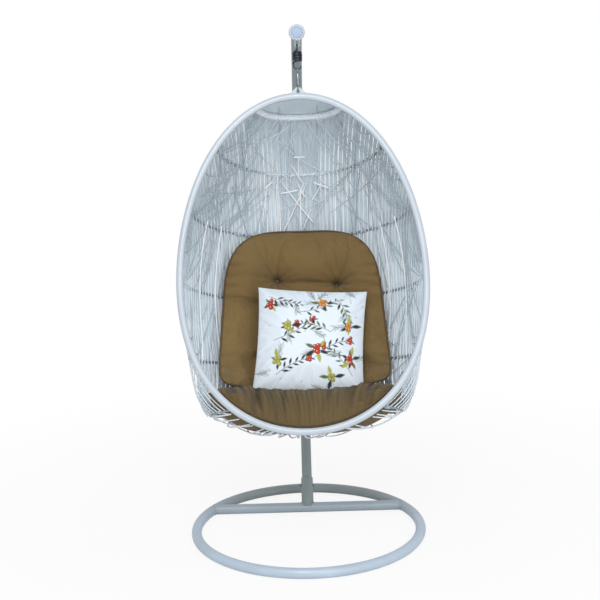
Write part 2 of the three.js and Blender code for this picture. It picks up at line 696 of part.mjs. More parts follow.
// The back cushion leans in the bowl and wraps forward at its sides; four sewn tufts pull in its front.
function backCushionGeometry() {
  const c = BACK_CUSHION;
  const middle = (c.top + c.bottom) / 2;
  const tufts = c.tuftRows.flatMap((z) => [-c.tuftX, c.tuftX].map((x) => [x, z]));
  const place = (r, angle, side) => {
    const [sx, sz] = superellipse(angle, Math.sin(angle) > 0 ? c.topSquareness : c.bottomSquareness);
    const x = c.halfWidth * sx * r * (1 - c.taper * sz * r);
    const z = middle + ((c.top - c.bottom) / 2) * sz * r;
    const back = Math.min(c.depth - c.wrap * (x / c.halfWidth) ** 2, wallDepth(x, z) - c.wallGap);
    const half = c.thickness / 2;
    const crown = (1 - r ** 4) ** 0.5;
    const pull = ([tx, tz]) => c.tuftDepth * Math.exp(-((x - tx) ** 2 + (z - tz) ** 2) / c.tuftSpread ** 2);
    const dimple = side > 0 ? tufts.reduce((sum, tuft) => sum + pull(tuft), 0) : 0;
    return new THREE.Vector3(x, back - half - side * half * crown + dimple, z);
  };
  return padGeometry(c.rings, c.segments, place);
}

// How full the bowl is at a point of the basket's frame: below 1 inside its wall.
function bowlShare({ x, y, z }) {
  const rough = z / RIM.halfHeight;
  const swell = bowlSwell(rough, y);
  const height = rough / swell.bottom;
  const across = x / (rimHalfWidth(height) * swell.side);
  return across ** 2 + height ** 2 + (Math.max(0, y) / BOWL.depth) ** (2 / BOWL.fill);
}

const sideways = new THREE.Vector3(1, 0, 0);
const toBasket = (point) => point.clone().sub(basketOrigin).applyAxisAngle(sideways, TILT);
const toChair = (point) => point.clone().applyAxisAngle(sideways, -TILT).add(basketOrigin);

// The furthest part of the way, from 0 to 1, at which the bowl is still less full than the limit.
function reachInBowl(route, limit) {
  let [near, far] = [0, 1];
  for (let i = 0; i < 24; i += 1) {
    const middle = (near + far) / 2;
    if (bowlShare(toBasket(route(middle))) < limit) near = middle;
    else far = middle;
  }
  return near;
}

// The seat pad's seam: in front it follows the rim from one corner to the other, and behind it
// lies in a sloping plane along the bowl's wall and the front of the back cushion.
function seatSeam(turn) {
  const c = SEAT;
  const corner = -c.cornerAngle * DEG;
  if (turn < 0) {
    const angle = Math.PI + corner + ((Math.PI - 2 * corner) * (turn + Math.PI)) / Math.PI;
    const height = Math.sin(angle);
    const [x, z] = [rimHalfWidth(height) * Math.cos(angle), RIM.halfHeight * height];
    return toChair(new THREE.Vector3(x * c.rimShare, RIM.tubeRadius + c.rimGap, z * c.rimShare));
  }
  const cornerY = seatSeam(-1e-6).y;
  const far = BOWL.depth;
  const route = (t) => {
    const y = cornerY + far * t * Math.sin(turn);
    return new THREE.Vector3(far * t * Math.cos(turn), y, c.backZ + c.backSlope * (c.back - y));
  };
  const inside = route(reachInBowl(route, c.sideShare));
  const limit = c.back - c.backBow * inside.x ** 2;
  if (inside.y < limit) return inside;
  inside.y = limit;
  return inside.setZ(c.backZ + c.backSlope * (c.back - limit));
}

// The seat pad fills the bottom of the bowl: its top rises to a ridge across the front, behind
// which the throw pillow stands, and its underside rests in the bowl.
function seatGeometry() {
  const c = SEAT;
  const centre = new THREE.Vector3(...c.centre);
  const place = (r, angle, side) => {
    const turn = angle > Math.PI ? angle - 2 * Math.PI : angle;
    const seam = seatSeam(turn);
    const x = seam.x * r;
    const y = centre.y + (seam.y - centre.y) * r;
    const level = centre.z + (seam.z - centre.z) * r ** 3;
    if (side < 0) {
      const drop = (t) => new THREE.Vector3(x, y, level - c.depth * t);
      return drop(reachInBowl(drop, c.floorShare + (c.sideShare - c.floorShare) * r ** 4));
    }
    const crown = c.crown * (1 - r ** 3) ** 0.6;
    const spread = y < c.ridgeY ? c.ridgeFront : c.ridgeBehind;
    const ridge = c.ridge * Math.exp(-(((y - c.ridgeY) / spread) ** 2)) * (1 - r ** 4);
    const pucker = c.pucker * Math.sin(c.gathers * angle) * r * (1 - r) * 4;
    return new THREE.Vector3(x, y, level + side * (crown + ridge + pucker));
  };
  return padGeometry(c.rings, c.segments, place);
}

// A square throw pillow: full in the middle, with drawn-in sides between its pointed corners.
function pillowGeometry() {
  const c = PILLOW;
  const place = (r, angle, side) => {
    const [sx, sz] = [Math.cos(angle), Math.sin(angle)];
    const square = r / Math.max(Math.abs(sx), Math.abs(sz));
    const [u, v] = [sx * square, sz * square];
    const x = (c.size / 2) * u * (1 - c.pullIn * (1 - v * v));
    const z = (c.size / 2) * v * (1 - c.pullIn * (1 - u * u));
    const y = (-side * c.thickness * ((1 - u * u) * (1 - v * v)) ** c.crown) / 2;
    return new THREE.Vector3(x, y, z);
  };
  return padGeometry(c.rings, c.segments, place);
}

// ---- the assembly ----
const chair = new THREE.Group();

function addPart(parent, name, geometry, finish) {
  const mesh = new THREE.Mesh(geometry, new THREE.MeshStandardMaterial(finish));
  mesh.name = name;
  parent.add(mesh);
  return mesh;
}

function addStand() {
  const stand = new THREE.Group();
  addPart(stand, 'base_ring', baseRingGeometry(), FINISH.frame);
  addPart(stand, 'crossbar', crossbarGeometry(), FINISH.frame);
  addPart(stand, 'post_socket', socketGeometry(), FINISH.frame);
  const lowerCurve = new PostCurve(SOCKET.postInset, jointLength - GAP / 2);
  const lower = rod(lowerCurve, POST.radius, POST.sides, POST.lowerSteps, POST.bore);
  addPart(stand, 'lower_post', cut(lower, ...boltHoles()), FINISH.frame);
  const upperCurve = new PostCurve(jointLength + GAP / 2, postLength);
  const upper = rod(upperCurve, POST.radius, POST.sides, POST.upperSteps, POST.bore);
  addPart(stand, 'upper_post', cut(upper, ...boltHoles()), FINISH.frame);
  const half = SPIGOT.length / 2;
  const spigot = straightRod(
    postPoint(jointLength - half), postPoint(jointLength + half), SPIGOT.radius, POST.sides, SPIGOT.bore,
  );
  addPart(stand, 'post_spigot', cut(spigot, ...boltHoles()), FINISH.steel);
  boltPlaces.forEach(({ name, at, reach }) => {
    const bolt = addPart(stand, name, boltGeometry(reach + GAP), FINISH.steel);
    bolt.position.set(reach + GAP, at.y, at.z);
    bolt.rotation.y = Math.PI / 2;
    const nut = addPart(stand, `${name}_nut`, nutGeometry(), FINISH.steel);
    nut.position.set(-reach - GAP, at.y, at.z);
    nut.rotation.y = -Math.PI / 2;
  });
  const cap = addPart(stand, 'arm_end_cap', endCapGeometry(), FINISH.plastic);
  cap.position.copy(postPoint(postLength + 1.5));
  cap.rotation.x = armAngle;
  addPart(stand, 'hanger_eye', hangerEyeGeometry(), FINISH.frame);
  chair.add(stand);
}

function addHanger() {
  const hanger = new THREE.Group();
  addPart(hanger, 'hanger_spring', springGeometry(), FINISH.spring);
  addPart(hanger, 'swivel_barrel', barrelGeometry(), FINISH.steel);
  addPart(hanger, 'swivel_lower_eye', lowerEyeGeometry(), FINISH.steel);
  chair.add(hanger);
}

function addWeave(basket) {
  const levels = [TOP_HOOP.endHeight - 0.035, ...HOOP.heights];
  const columns = [[0, 90, 180], [0, 40, 90, 140, 180]];
  const strandCounts = [6, 5, 6, 6, 5];
  for (let row = 0; row < levels.length - 1; row += 1) {
    const edges = columns[Math.min(row, 1)];
    for (let column = 0; column < edges.length - 1; column += 1) {
      const seed = WEAVE.seed + 97 * row + 13 * column;
      const [low, high] = [levels[row + 1], levels[row]];
      const panel = bowlPanel(edges[column], edges[column + 1], low, high, strandCounts[row], seed);
      addPart(basket, `weave_row${row + 1}_panel${column + 1}`, panel, FINISH.strand);
    }
  }
  const lowestHoop = () => HOOP.heights.at(-1);
  const endPanels = [
    ['weave_crown', endPanel(30, 150, topHoopHeight, 0.22, 7, WEAVE.seed)],
    ['weave_bottom_right', endPanel(89.5, 12, lowestHoop, 0.06, 6, WEAVE.seed + 3)],
    ['weave_bottom_left', endPanel(168, 90.5, lowestHoop, 0.06, 6, WEAVE.seed + 8)],
  ];
  endPanels.forEach(([name, panel]) => addPart(basket, name, panel, FINISH.strand));
}

function addBasket() {
  const basket = new THREE.Group();
  basket.position.copy(basketOrigin);
  basket.rotation.x = -TILT;
  addPart(basket, 'egg_rim', rimGeometry(), FINISH.frame);
  addPart(basket, 'top_hoop', cut(topHoopGeometry(), rimGeometry(GAP)), FINISH.frame);
  HOOP.heights.forEach((height, i) => addPart(basket, `hoop_${i + 1}`, hoopGeometry(height), FINISH.frame));
  const ribs = [
    ...RIB.sideAngles.map((angle) => sideRibGeometry(angle * DEG)), ...RIB.uprights.map(uprightRibGeometry),
  ];
  ribs.forEach((geometry, i) => addPart(basket, `rib_${i + 1}`, geometry, FINISH.frame));
  addWeave(basket);
  addPart(basket, 'back_cushion', backCushionGeometry(), FINISH.khaki);
  chair.add(basket);
  addPart(chair, 'hanging_bracket', bracketGeometry(), FINISH.frame);
  addPart(chair, 'seat_cushion', seatGeometry(), FINISH.khaki);
  const pillow = addPart(chair, 'throw_pillow', pillowGeometry(), FINISH.print);
  pillow.position.set(...PILLOW.centre);
  pillow.rotation.set(-PILLOW.lean * DEG, PILLOW.turn * DEG, 0);
}

addStand();
addHanger();
addBasket();
const footprint = new THREE.Box3().setFromObject(chair, true);
chair.position.y = -(footprint.min.y + footprint.max.y) / 2;

export default chair;
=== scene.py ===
import math
import random

import bpy
import numpy as np
from mathutils import Matrix, Vector


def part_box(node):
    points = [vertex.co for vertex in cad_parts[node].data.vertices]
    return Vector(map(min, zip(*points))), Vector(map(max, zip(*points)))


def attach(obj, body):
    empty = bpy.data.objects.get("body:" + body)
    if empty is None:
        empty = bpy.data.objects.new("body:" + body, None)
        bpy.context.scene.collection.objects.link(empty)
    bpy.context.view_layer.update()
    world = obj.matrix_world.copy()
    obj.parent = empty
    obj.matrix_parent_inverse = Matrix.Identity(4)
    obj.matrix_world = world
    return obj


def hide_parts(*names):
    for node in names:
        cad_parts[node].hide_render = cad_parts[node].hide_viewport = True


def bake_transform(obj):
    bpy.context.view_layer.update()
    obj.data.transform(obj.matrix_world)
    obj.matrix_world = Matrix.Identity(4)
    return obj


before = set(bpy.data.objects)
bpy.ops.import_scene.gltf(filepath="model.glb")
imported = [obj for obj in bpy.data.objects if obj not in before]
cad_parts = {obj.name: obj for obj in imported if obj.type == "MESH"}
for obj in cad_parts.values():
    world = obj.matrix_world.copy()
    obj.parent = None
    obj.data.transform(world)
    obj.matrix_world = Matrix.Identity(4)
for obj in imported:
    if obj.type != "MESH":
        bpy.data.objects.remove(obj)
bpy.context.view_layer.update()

# ---- sizes, in metres; heights on the bowl are shares of the rim's half height ----
AXIS_Y = sum(corner[1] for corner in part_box("swivel_barrel")) / 2  # the basket hangs on this line
CHAIR = Matrix.Translation((0, AXIS_Y, 0))
UNMOVED = Matrix.Identity(4)

BASE_RADIUS, BASE_TUBE, BASE_ROUND = 0.452, 0.021, 0.0201
CROSSBAR_Y, CROSSBAR_TUBE = 0.215, 0.0204
POST_TUBE, POST_LEAN, POST_STRAIGHT = 0.021, math.radians(35), 0.300
LOWER_BEND, UPPER_BEND, APEX_Z, ARM_OVERHANG = 0.975, 0.535, 1.976, 0.042
JOINT_Z, JOINT_GAP, WELD_RADIUS = 1.040, 0.0004, 0.0032
SOCKET_RADIUS, SOCKET_LENGTH, SOCKET_INSET = 0.025, 0.128, 0.042
CAP_RADIUS, CAP_DISC, CAP_SKIRT, CAP_GAP = 0.030, 0.021, 0.030, 0.0015

TILT = math.radians(18.5)
RIM_HALF_WIDTH, RIM_HALF_HEIGHT, RIM_TOP_Z, RIM_TUBE = 0.453, 0.630, 1.738, 0.013
RIM_TAPER, RIM_FULLNESS = 0.1, 0.08
BOWL_DEPTH, BOWL_FILL, SIDE_SWELL, BOTTOM_SWELL, SWELL_DEPTH = 0.640, 0.95, 0.95, 0.06, 0.6
HOOP_RADIUS, HOOP_HEIGHTS = 0.0045, (0.7, 0.32, -0.1, -0.54, -0.86)
TOP_HOOP_RADIUS, TOP_HOOP_END, TOP_HOOP_RISE = 0.011, 0.93, 0.03
RIB_RADIUS, SIDE_RIB_ANGLES, SIDE_RIB_TOP, RIB_BOTTOM = 0.004, (25, 38, 142, 155), 0.345, -0.85
UPRIGHT_RIBS, RIB_START = (0.220, 0.072, -0.072, -0.220), 0.13

RIM_MIDDLE = (0, -RIM_HALF_HEIGHT * math.sin(TILT), RIM_TOP_Z - RIM_HALF_HEIGHT * math.cos(TILT))
BASKET = CHAIR @ Matrix.Translation(RIM_MIDDLE) @ Matrix.Rotation(-TILT, 4, "X")


# ---- mesh helpers: a form is a pair of vertices and faces ----
SKEW = (0.31, 0.27, 0.91)  # a direction that no tube starts along


def normalised(vectors):
    return vectors / np.maximum(np.linalg.norm(vectors, axis=-1, keepdims=True), 1e-12)


def full_turn(count):
    """Evenly spaced angles once round."""
    return 2 * np.pi * np.arange(count) / count


def tube(points, radius, sides=12, closed=False):
    """A round tube along points. The radius is one value, or one for each point."""
    points = np.asarray(points, float)
    count = len(points)
    ahead = np.roll(points, -1, 0) - np.roll(points, 1, 0)
    if not closed:
        ahead[0], ahead[-1] = points[1] - points[0], points[-1] - points[-2]
    tangents = normalised(ahead)
    normal = np.cross(tangents[0], SKEW)
    normals = []
    for tangent in tangents:
        normal = normalised(normal - tangent * np.dot(normal, tangent))
        normals.append(normal)
    normals = np.array(normals)
    if closed:
        end = normalised(normal - tangents[0] * np.dot(normal, tangents[0]))
        twist = math.atan2(np.dot(np.cross(normals[0], end), tangents[0]), np.dot(normals[0], end))
        turn = -twist * np.arange(count)[:, None] / count
        normals = normals * np.cos(turn) + np.cross(tangents, normals) * np.sin(turn)
    sideways = np.cross(tangents, normals)
    angles = full_turn(sides)[None, :, None]
    wall = np.cos(angles) * normals[:, None] + np.sin(angles) * sideways[:, None]
    radii = np.broadcast_to(np.asarray(radius, float), (count,))[:, None, None]
    vertices = (points[:, None] + radii * wall).reshape(-1, 3)
    faces = []
    for i in range(count if closed else count - 1):
        near, far = i * sides, (i + 1) % count * sides
        for j in range(sides):
            k = (j + 1) % sides
            faces.append((near + j, near + k, far + k, far + j))
    if not closed:
        faces.append(tuple(reversed(range(sides))))
        faces.append(tuple(range((count - 1) * sides, count * sides)))
    return vertices, faces


def turned(profile, segments, matrix=UNMOVED):
    """Points of (radius, height), listed upwards along the outside, turned about Z into a closed form."""
    vertices, rings, faces = [], [], []
    for radius, height in profile:
        if radius == 0:
            rings.append([len(vertices)] * segments)
            vertices.append((0, 0, height))
            continue
        rings.append(list(range(len(vertices), len(vertices) + segments)))
        for angle in full_turn(segments):
            vertices.append((radius * math.cos(angle), radius * math.sin(angle), height))
    for near, far in zip(rings, rings[1:]):
        for j in range(segments):
            k = (j + 1) % segments
            face = dict.fromkeys((near[j], near[k], far[k], far[j]))
            if len(face) > 2:
                faces.append(tuple(face))
    return [tuple(matrix @ Vector(v)) for v in vertices], faces


def upright_ring(radius, wire, z):
    """A wire ring in the YZ plane, with its middle at a height."""
    angles = full_turn(48)
    circle = np.stack([0 * angles, radius * np.sin(angles), z - radius * np.cos(angles)], 1)
    return tube(circle, wire, 14, closed=True)


def bead(points, radius, seed):
    """A weld bead: a closed tube along points, a little uneven."""
    lumps, spacing = 0.12, 1.9
    rng = np.random.default_rng(seed)
    ripple = 1 + lumps * (np.sin(np.arange(len(points)) * spacing) + 0.5 * rng.normal(size=len(points)))
    return tube(points, radius * ripple, 10, closed=True)


def new_object(name, data):
    thing = bpy.data.objects.new(name, data)
    bpy.context.scene.collection.objects.link(thing)
    return thing


def piece(name, forms, material, body, nodes=(), matrix=CHAIR, sharp=40):
    """A shown object made of forms, riding on a body and standing for its CAD nodes."""
    vertices, faces = [], []
    for points, sides in forms:
        faces.extend([len(vertices) + i for i in side] for side in sides)
        vertices.extend(map(tuple, points))
    mesh = bpy.data.meshes.new(name)
    mesh.from_pydata(vertices, [], faces)
    mesh.transform(matrix)
    mesh.shade_smooth()
    mesh.set_sharp_from_angle(angle=math.radians(sharp))
    mesh.materials.append(material)
    thing = new_object(name, mesh)
    if body:
        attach(thing, body)
    if nodes:
        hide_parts(*nodes)
    return thing


# ---- materials: colours are given as they look on screen, 0 to 255 ----
CANVAS_THREADS, COTTON_THREADS = 900, 1300  # to the metre


def linear(colour):
    """A screen colour as the renderer's linear values."""
    channels = [c / 255 for c in colour]
    return tuple(c / 12.92 if c < 0.04045 else ((c + 0.055) / 1.055) ** 2.4 for c in channels) + (1,)


class Nodes:
    """A material's node tree, built from the shader back."""

    def __init__(self, name):
        self.material = bpy.data.materials.new(name)
        self.material.use_nodes = True
        self.tree = self.material.node_tree
        self.shader = self.tree.nodes["Principled BSDF"]
        self.place = self.add("ShaderNodeTexCoord").outputs["Object"]

    def add(self, kind, inputs=None, **settings):
        node = self.tree.nodes.new(kind)
        for key, value in settings.items():
            setattr(node, key, value)
        for key, value in (inputs or {}).items():
            self.put(node.inputs[key], value)
        return node

    def put(self, socket, value):
        if isinstance(value, bpy.types.NodeSocket):
            self.tree.links.new(value, socket)
        else:
            socket.default_value = value

    def coordinate(self, axis, at=None):
        return self.add("ShaderNodeSeparateXYZ", {"Vector": at or self.place}).outputs[axis]

    def noise(self, scale, detail=2.0, roughness=0.5, at=None, stretch=None):
        at = at or self.place
        if stretch:
            at = self.add("ShaderNodeMapping", {"Vector": at, "Scale": stretch}).outputs["Vector"]
        inputs = {"Vector": at, "Scale": scale, "Detail": detail, "Roughness": roughness}
        return self.add("ShaderNodeTexNoise", inputs).outputs["Fac"]

    def ramp(self, factor, *stops):
        """Stops are (position, screen colour or grey level)."""
        ramp = self.add("ShaderNodeValToRGB", {"Fac": factor})
        for element, (position, colour) in zip(ramp.color_ramp.elements, stops):
            element.position = position
            element.color = linear(colour) if isinstance(colour, tuple) else (colour,) * 3 + (1,)
        return ramp.outputs["Color"]

    def mottle(self, low, high, scale, detail, roughness=0.5, stops=(0.3, 0.7)):
        """Noise that runs between two screen colours or grey levels."""
        return self.ramp(self.noise(scale, detail, roughness), (stops[0], low), (stops[1], high))

    def mix(self, factor, first, second, blend="MIX"):
        node = self.add("ShaderNodeMix", data_type="RGBA", blend_type=blend)
        for key, value in (("Factor", factor), ("A", first), ("B", second)):
            wanted = "VALUE" if key == "Factor" else "RGBA"
            self.put(next(s for s in node.inputs if s.name == key and s.type == wanted), value)
        return next(s for s in node.outputs if s.type == "RGBA")

    def math(self, operation, first, second=0.0):
        node = self.add("ShaderNodeMath", {0: first, 1: second}, operation=operation)
        return node.outputs[0]

    def bump(self, height, distance, strength=1.0, before=None):
        inputs = {"Height": height, "Distance": distance, "Strength": strength}
        if before is not None:
            inputs["Normal"] = before
        return self.add("ShaderNodeBump", inputs).outputs["Normal"]

    def finish(self, **values):
        """Sets the shader's sockets, named with underscores, and returns the material."""
        for key, value in values.items():
            self.put(self.shader.inputs[key.replace("_", " ")], value)
        return self.material


def coated_metal(name, colour, shade, rear_shade=None):
    """Powder-coated steel: faint cloudy changes, a fine orange peel, and painted shade towards the rear if told.
    """
    n = Nodes(name)
    tone = n.mottle(shade, colour, 7.0, 4.0)
    # painted shade: a ramp along Y greys the coat towards the rear, where the basket shades the stand
    if rear_shade:
        tone = n.mix(n.ramp(n.math("ADD", n.coordinate("Y"), 0.2), (0.15, 0.0), (0.5, 1.0)), tone, linear(rear_shade))
    scuffs = n.mottle(1.0, 0.93, 60.0, 6.0, 0.7, (0.62, 0.8))
    peel = n.bump(n.noise(900.0), 0.00012, 0.5)
    n.finish(Base_Color=n.mix(1.0, tone, scuffs, "MULTIPLY"), Roughness=n.mottle(0.29, 0.42, 25.0, 3.0))
    return n.finish(Normal=peel, Coat_Weight=0.25, Coat_Roughness=0.2)


def wicker(name, colour, shade, aside=None):
    """Round synthetic wicker: pale plastic with faint streaks and a dull sheen, and painted shade towards the
    sides if told.
    """
    n = Nodes(name)
    tone = n.mottle(shade, colour, 14.0, 3.0, stops=(0.3, 0.65))
    # painted shade: the aside colour takes over towards the bowl's sides
    if aside:
        side_shade_amount = n.ramp(n.math("ABSOLUTE", n.coordinate("X")), (0.09, 0.0), (0.21, 1.0))
        tone = n.mix(side_shade_amount, tone, linear(aside))
    specks = n.mottle(0.92, 1.0, 420.0, 3.0, stops=(0.35, 0.6))
    grain = n.bump(n.noise(700.0, 3.0, stretch=(1, 1, 0.15)), 0.0003, 0.6)
    return n.finish(Base_Color=n.mix(1.0, tone, specks, "MULTIPLY"), Roughness=0.48, Normal=grain)


def bare_steel(name, bright, dark, roughness):
    """Plated or drawn steel with fine mottling and duller patches."""
    n = Nodes(name)
    rough = n.mottle(roughness - 0.08, roughness + 0.14, 240.0, 4.0, stops=(0.3, 0.75))
    fine = n.bump(n.noise(1800.0), 0.00006, 0.5)
    return n.finish(Base_Color=n.mottle(dark, bright, 160.0, 5.0, 0.6), Roughness=rough, Normal=fine, Metallic=1.0)


def moulded_plastic(name, colour, shade):
    """Smooth plastic with a faint skin."""
    n = Nodes(name)
    skin = n.bump(n.noise(1400.0), 0.00008, 0.5)
    rough = n.mottle(0.36, 0.5, 90.0, 3.0)
    return n.finish(Base_Color=n.mottle(shade, colour, 30.0, 3.0), Roughness=rough, Normal=skin)


def woven_height(n, threads):
    """A plain weave's height from the sheet's own coordinates, which are in metres."""
    cloth = n.add("ShaderNodeUVMap").outputs["UV"]
    turns = threads * math.pi
    waves = [n.math("SINE", n.math("MULTIPLY", n.coordinate(axis, cloth), turns)) for axis in "XY"]
    return n.math("ADD", n.math("MULTIPLY", n.math("MULTIPLY", *waves), 0.5), 0.5), cloth


def canvas(name, colour, shade, light):
    """Woven polyester canvas: two close thread colours, faint slubs, painted shade in the folds and a soft sheen.
    """
    n = Nodes(name)
    height, cloth = woven_height(n, CANVAS_THREADS)
    slubs = n.noise(70.0, 3.0, 0.6, at=cloth, stretch=(1.0, 9.0, 1.0))
    threads_seen = n.mix(n.math("MULTIPLY", height, 0.35), n.mottle(shade, colour, 5.0, 4.0), linear(light))
    streaked = n.mix(1.0, threads_seen, n.ramp(slubs, (0.3, 0.88), (0.7, 1.06)), "MULTIPLY")
    # painted shade: the mesh's crease amount darkens the canvas in its folds
    crease_shade_amount = n.add("ShaderNodeAttribute", attribute_name="crease_shade").outputs["Fac"]
    crease_shaded = n.mix(crease_shade_amount, streaked, tuple(0.3 * c for c in linear(shade)[:3]) + (1,))
    fabric = n.bump(height, 0.0005, 0.6, n.bump(n.noise(38.0, 5.0, 0.62), 0.004, 0.35))
    return n.finish(Base_Color=crease_shaded, Roughness=0.92, Normal=fabric, Sheen_Weight=0.12, Sheen_Roughness=0.5)


def printed_cloth(name):
    """White cotton with its print in the mesh's colours."""
    n = Nodes(name)
    height, cloth = woven_height(n, COTTON_THREADS)
    print_colour = n.add("ShaderNodeVertexColor", layer_name="print").outputs["Color"]
    threads_seen = n.ramp(n.noise(300.0, 3.0, at=cloth), (0.3, 0.95), (0.7, 1.0))
    fabric = n.bump(height, 0.0003, 0.5, n.bump(n.noise(30.0, 4.0, 0.6), 0.003, 0.3))
    colour = n.mix(1.0, print_colour, threads_seen, "MULTIPLY")
    return n.finish(Base_Color=colour, Roughness=0.85, Normal=fabric, Sheen_Weight=0.15)


COAT = coated_metal("powder_coat", (190, 200, 210), (182, 193, 203))
# the ring's rear half is greyed with painted shade
STAND_COAT = coated_metal("stand_coat", (186, 202, 218), (174, 190, 206), rear_shade=(150, 160, 162))
HOOP_COAT = coated_metal("hoop_coat", (247, 251, 254), (238, 244, 250))
# the post and its socket get a greyer coat than the ring: partly the paint's own grey, partly painted shade from
# the basket above
SHADED_POST_COAT = coated_metal("post_coat", (142, 153, 154), (131, 142, 143))
STRAND = wicker("fine_strand", (234, 245, 252), (225, 237, 246))
WHITE_STRAND = wicker("white_strand", (236, 243, 250), (222, 231, 240))
KNOT_STRAND = wicker("knot_strand", (252, 254, 255), (245, 249, 253))
# the loose strands and the hoop rods grey towards the bowl's sides with painted shade
LOOSE_STRAND = wicker("loose_strand", (236, 245, 252), (224, 234, 243), (182, 194, 203))
HOOP_STRAND = wicker("hoop_rod", (238, 241, 244), (222, 227, 232), (140, 150, 157))
UPRIGHT_STRAND = wicker("upright_rod", (206, 218, 228), (196, 209, 219))
SPRING_STEEL = bare_steel("spring_steel", (92, 98, 104), (48, 53, 58), 0.38)
ZINC = bare_steel("zinc_steel", (158, 166, 174), (116, 124, 132), 0.36)
KHAKI = canvas("khaki_canvas", (126, 102, 58), (113, 90, 50), (146, 121, 78))
# the seat's canvas is the back cushion's khaki darkened with painted shade
SHADED_SEAT_KHAKI = canvas("seat_canvas", (106, 88, 52), (95, 78, 45), (128, 108, 70))
PIPING = canvas("piping_canvas", (92, 73, 44), (80, 63, 38), (112, 90, 58))
PRINT = printed_cloth("printed_cotton")
CAP_PLASTIC = moulded_plastic("cap_plastic", (206, 214, 224), (190, 200, 212))
CAP_BLUE = moulded_plastic("cap_disc_plastic", (168, 186, 208), (156, 175, 198))


# ---- the stand ----
LOWER_ARC = LOWER_BEND * POST_LEAN
UPRIGHT_Y = CROSSBAR_Y + POST_STRAIGHT * math.sin(POST_LEAN) + LOWER_BEND * (1 - math.cos(POST_LEAN))
LOWER_BEND_TOP = BASE_TUBE + POST_STRAIGHT * math.cos(POST_LEAN) + LOWER_BEND * math.sin(POST_LEAN)
UPPER_BEND_Z = APEX_Z - UPPER_BEND
UPRIGHT_LENGTH = UPPER_BEND_Z - LOWER_BEND_TOP
JOINT_LENGTH = POST_STRAIGHT + LOWER_ARC + JOINT_Z - LOWER_BEND_TOP
ARM_ANGLE = math.pi / 2 + math.asin((UPRIGHT_Y - UPPER_BEND + ARM_OVERHANG) / UPPER_BEND)
POST_LENGTH = POST_STRAIGHT + LOWER_ARC + UPRIGHT_LENGTH + UPPER_BEND * ARM_ANGLE


def post_point(length):
    """The post's centre line: a leaning straight, a bend to upright and a long bend over the basket."""
    if length < POST_STRAIGHT:
        return (0, CROSSBAR_Y + length * math.sin(POST_LEAN), BASE_TUBE + length * math.cos(POST_LEAN))
    if length < POST_STRAIGHT + LOWER_ARC:
        angle = POST_LEAN - (length - POST_STRAIGHT) / LOWER_BEND
        forward = LOWER_BEND * (1 - math.cos(angle))
        return (0, UPRIGHT_Y - forward, LOWER_BEND_TOP - LOWER_BEND * math.sin(angle))
    above = length - POST_STRAIGHT - LOWER_ARC
    if above < UPRIGHT_LENGTH:
        return (0, UPRIGHT_Y, LOWER_BEND_TOP + above)
    angle = (above - UPRIGHT_LENGTH) / UPPER_BEND
    return (0, UPRIGHT_Y - UPPER_BEND * (1 - math.cos(angle)), UPPER_BEND_Z + UPPER_BEND * math.sin(angle))


def post_tube(start, end):
    """A stretch of the post, its cut ends a little rounded."""
    edge, inset = 0.0012, 0.01
    lengths = [start, start + edge, *np.linspace(start + inset, end - inset, 60), end - edge, end]
    radii = [POST_TUBE - edge] + [POST_TUBE] * (len(lengths) - 2) + [POST_TUBE - edge]
    return tube([post_point(length) for length in lengths], radii, 28)


def pointing(at, direction):
    """A matrix that stands Z along a direction at a point."""
    turn = Vector((0, 0, 1)).rotation_difference(Vector(direction)).to_matrix().to_4x4()
    return Matrix.Translation(at) @ turn


def stand_piece(name, forms, material, *nodes, slot="frame_paint"):
    piece(name, forms, material, "stand", nodes)


def build_base():
    """The ring on the floor, and the crossbar with a weld at each end."""
    angles = full_turn(144)
    base = np.stack([BASE_RADIUS * np.cos(angles), BASE_RADIUS * np.sin(angles), 0 * angles + BASE_ROUND], 1)
    stand_piece("base_ring_tube", [tube(base, BASE_ROUND, 24, closed=True)], STAND_COAT, "base_ring")

    reach = math.sqrt(BASE_RADIUS**2 - CROSSBAR_Y**2)
    forms = [tube([(x, CROSSBAR_Y, BASE_TUBE) for x in np.linspace(-reach, reach, 24)], CROSSBAR_TUBE, 24)]
    lowest_weld = 0.0042
    for side in (-1, 1):
        weld = []
        for angle in full_turn(72):
            y = CROSSBAR_Y + CROSSBAR_TUBE * math.cos(angle)
            z = CROSSBAR_TUBE * math.sin(angle)
            inner = BASE_RADIUS - math.sqrt(max(0, BASE_ROUND**2 - z * z))
            weld.append((side * math.sqrt(inner**2 - y**2), y, max(lowest_weld, BASE_TUBE + z)))
        forms.append(bead(weld, WELD_RADIUS, 3 + side))
    stand_piece("crossbar_tube", forms, STAND_COAT, "crossbar")


def build_socket():
    """The leaning sleeve, and the weld where it meets the crossbar."""
    at = pointing((0, CROSSBAR_Y, BASE_TUBE), (0, math.sin(POST_LEAN), math.cos(POST_LEAN)))
    r, foot, top = SOCKET_RADIUS, 0.004, SOCKET_LENGTH
    edge, lip, recess = 0.002, 0.0006, 0.006
    sleeve = [(0, foot), (r, foot), (r, top - edge), (r - lip, top - lip), (r - edge, top)]
    sleeve += [(POST_TUBE + lip, top), (POST_TUBE + JOINT_GAP, top - recess), (0, top - recess)]
    saddle = []
    for angle in full_turn(72):
        spot = Vector((r * math.cos(angle), r * math.sin(angle), 0))
        lowest, highest = 0.0, 0.06
        for _ in range(24):
            middle = (lowest + highest) / 2
            p = at @ (spot + Vector((0, 0, middle)))
            inside = math.hypot(p.y - CROSSBAR_Y, p.z - BASE_TUBE) < CROSSBAR_TUBE
            if inside and abs(spot.x) < CROSSBAR_TUBE * 1.3:
                lowest = middle
            else:
                highest = middle
        saddle.append(tuple(at @ (spot + Vector((0, 0, max(lowest, foot))))))
    forms = [turned(sleeve, 48, at), bead(saddle, WELD_RADIUS, 9)]
    stand_piece("post_socket_sleeve", forms, SHADED_POST_COAT, "post_socket")


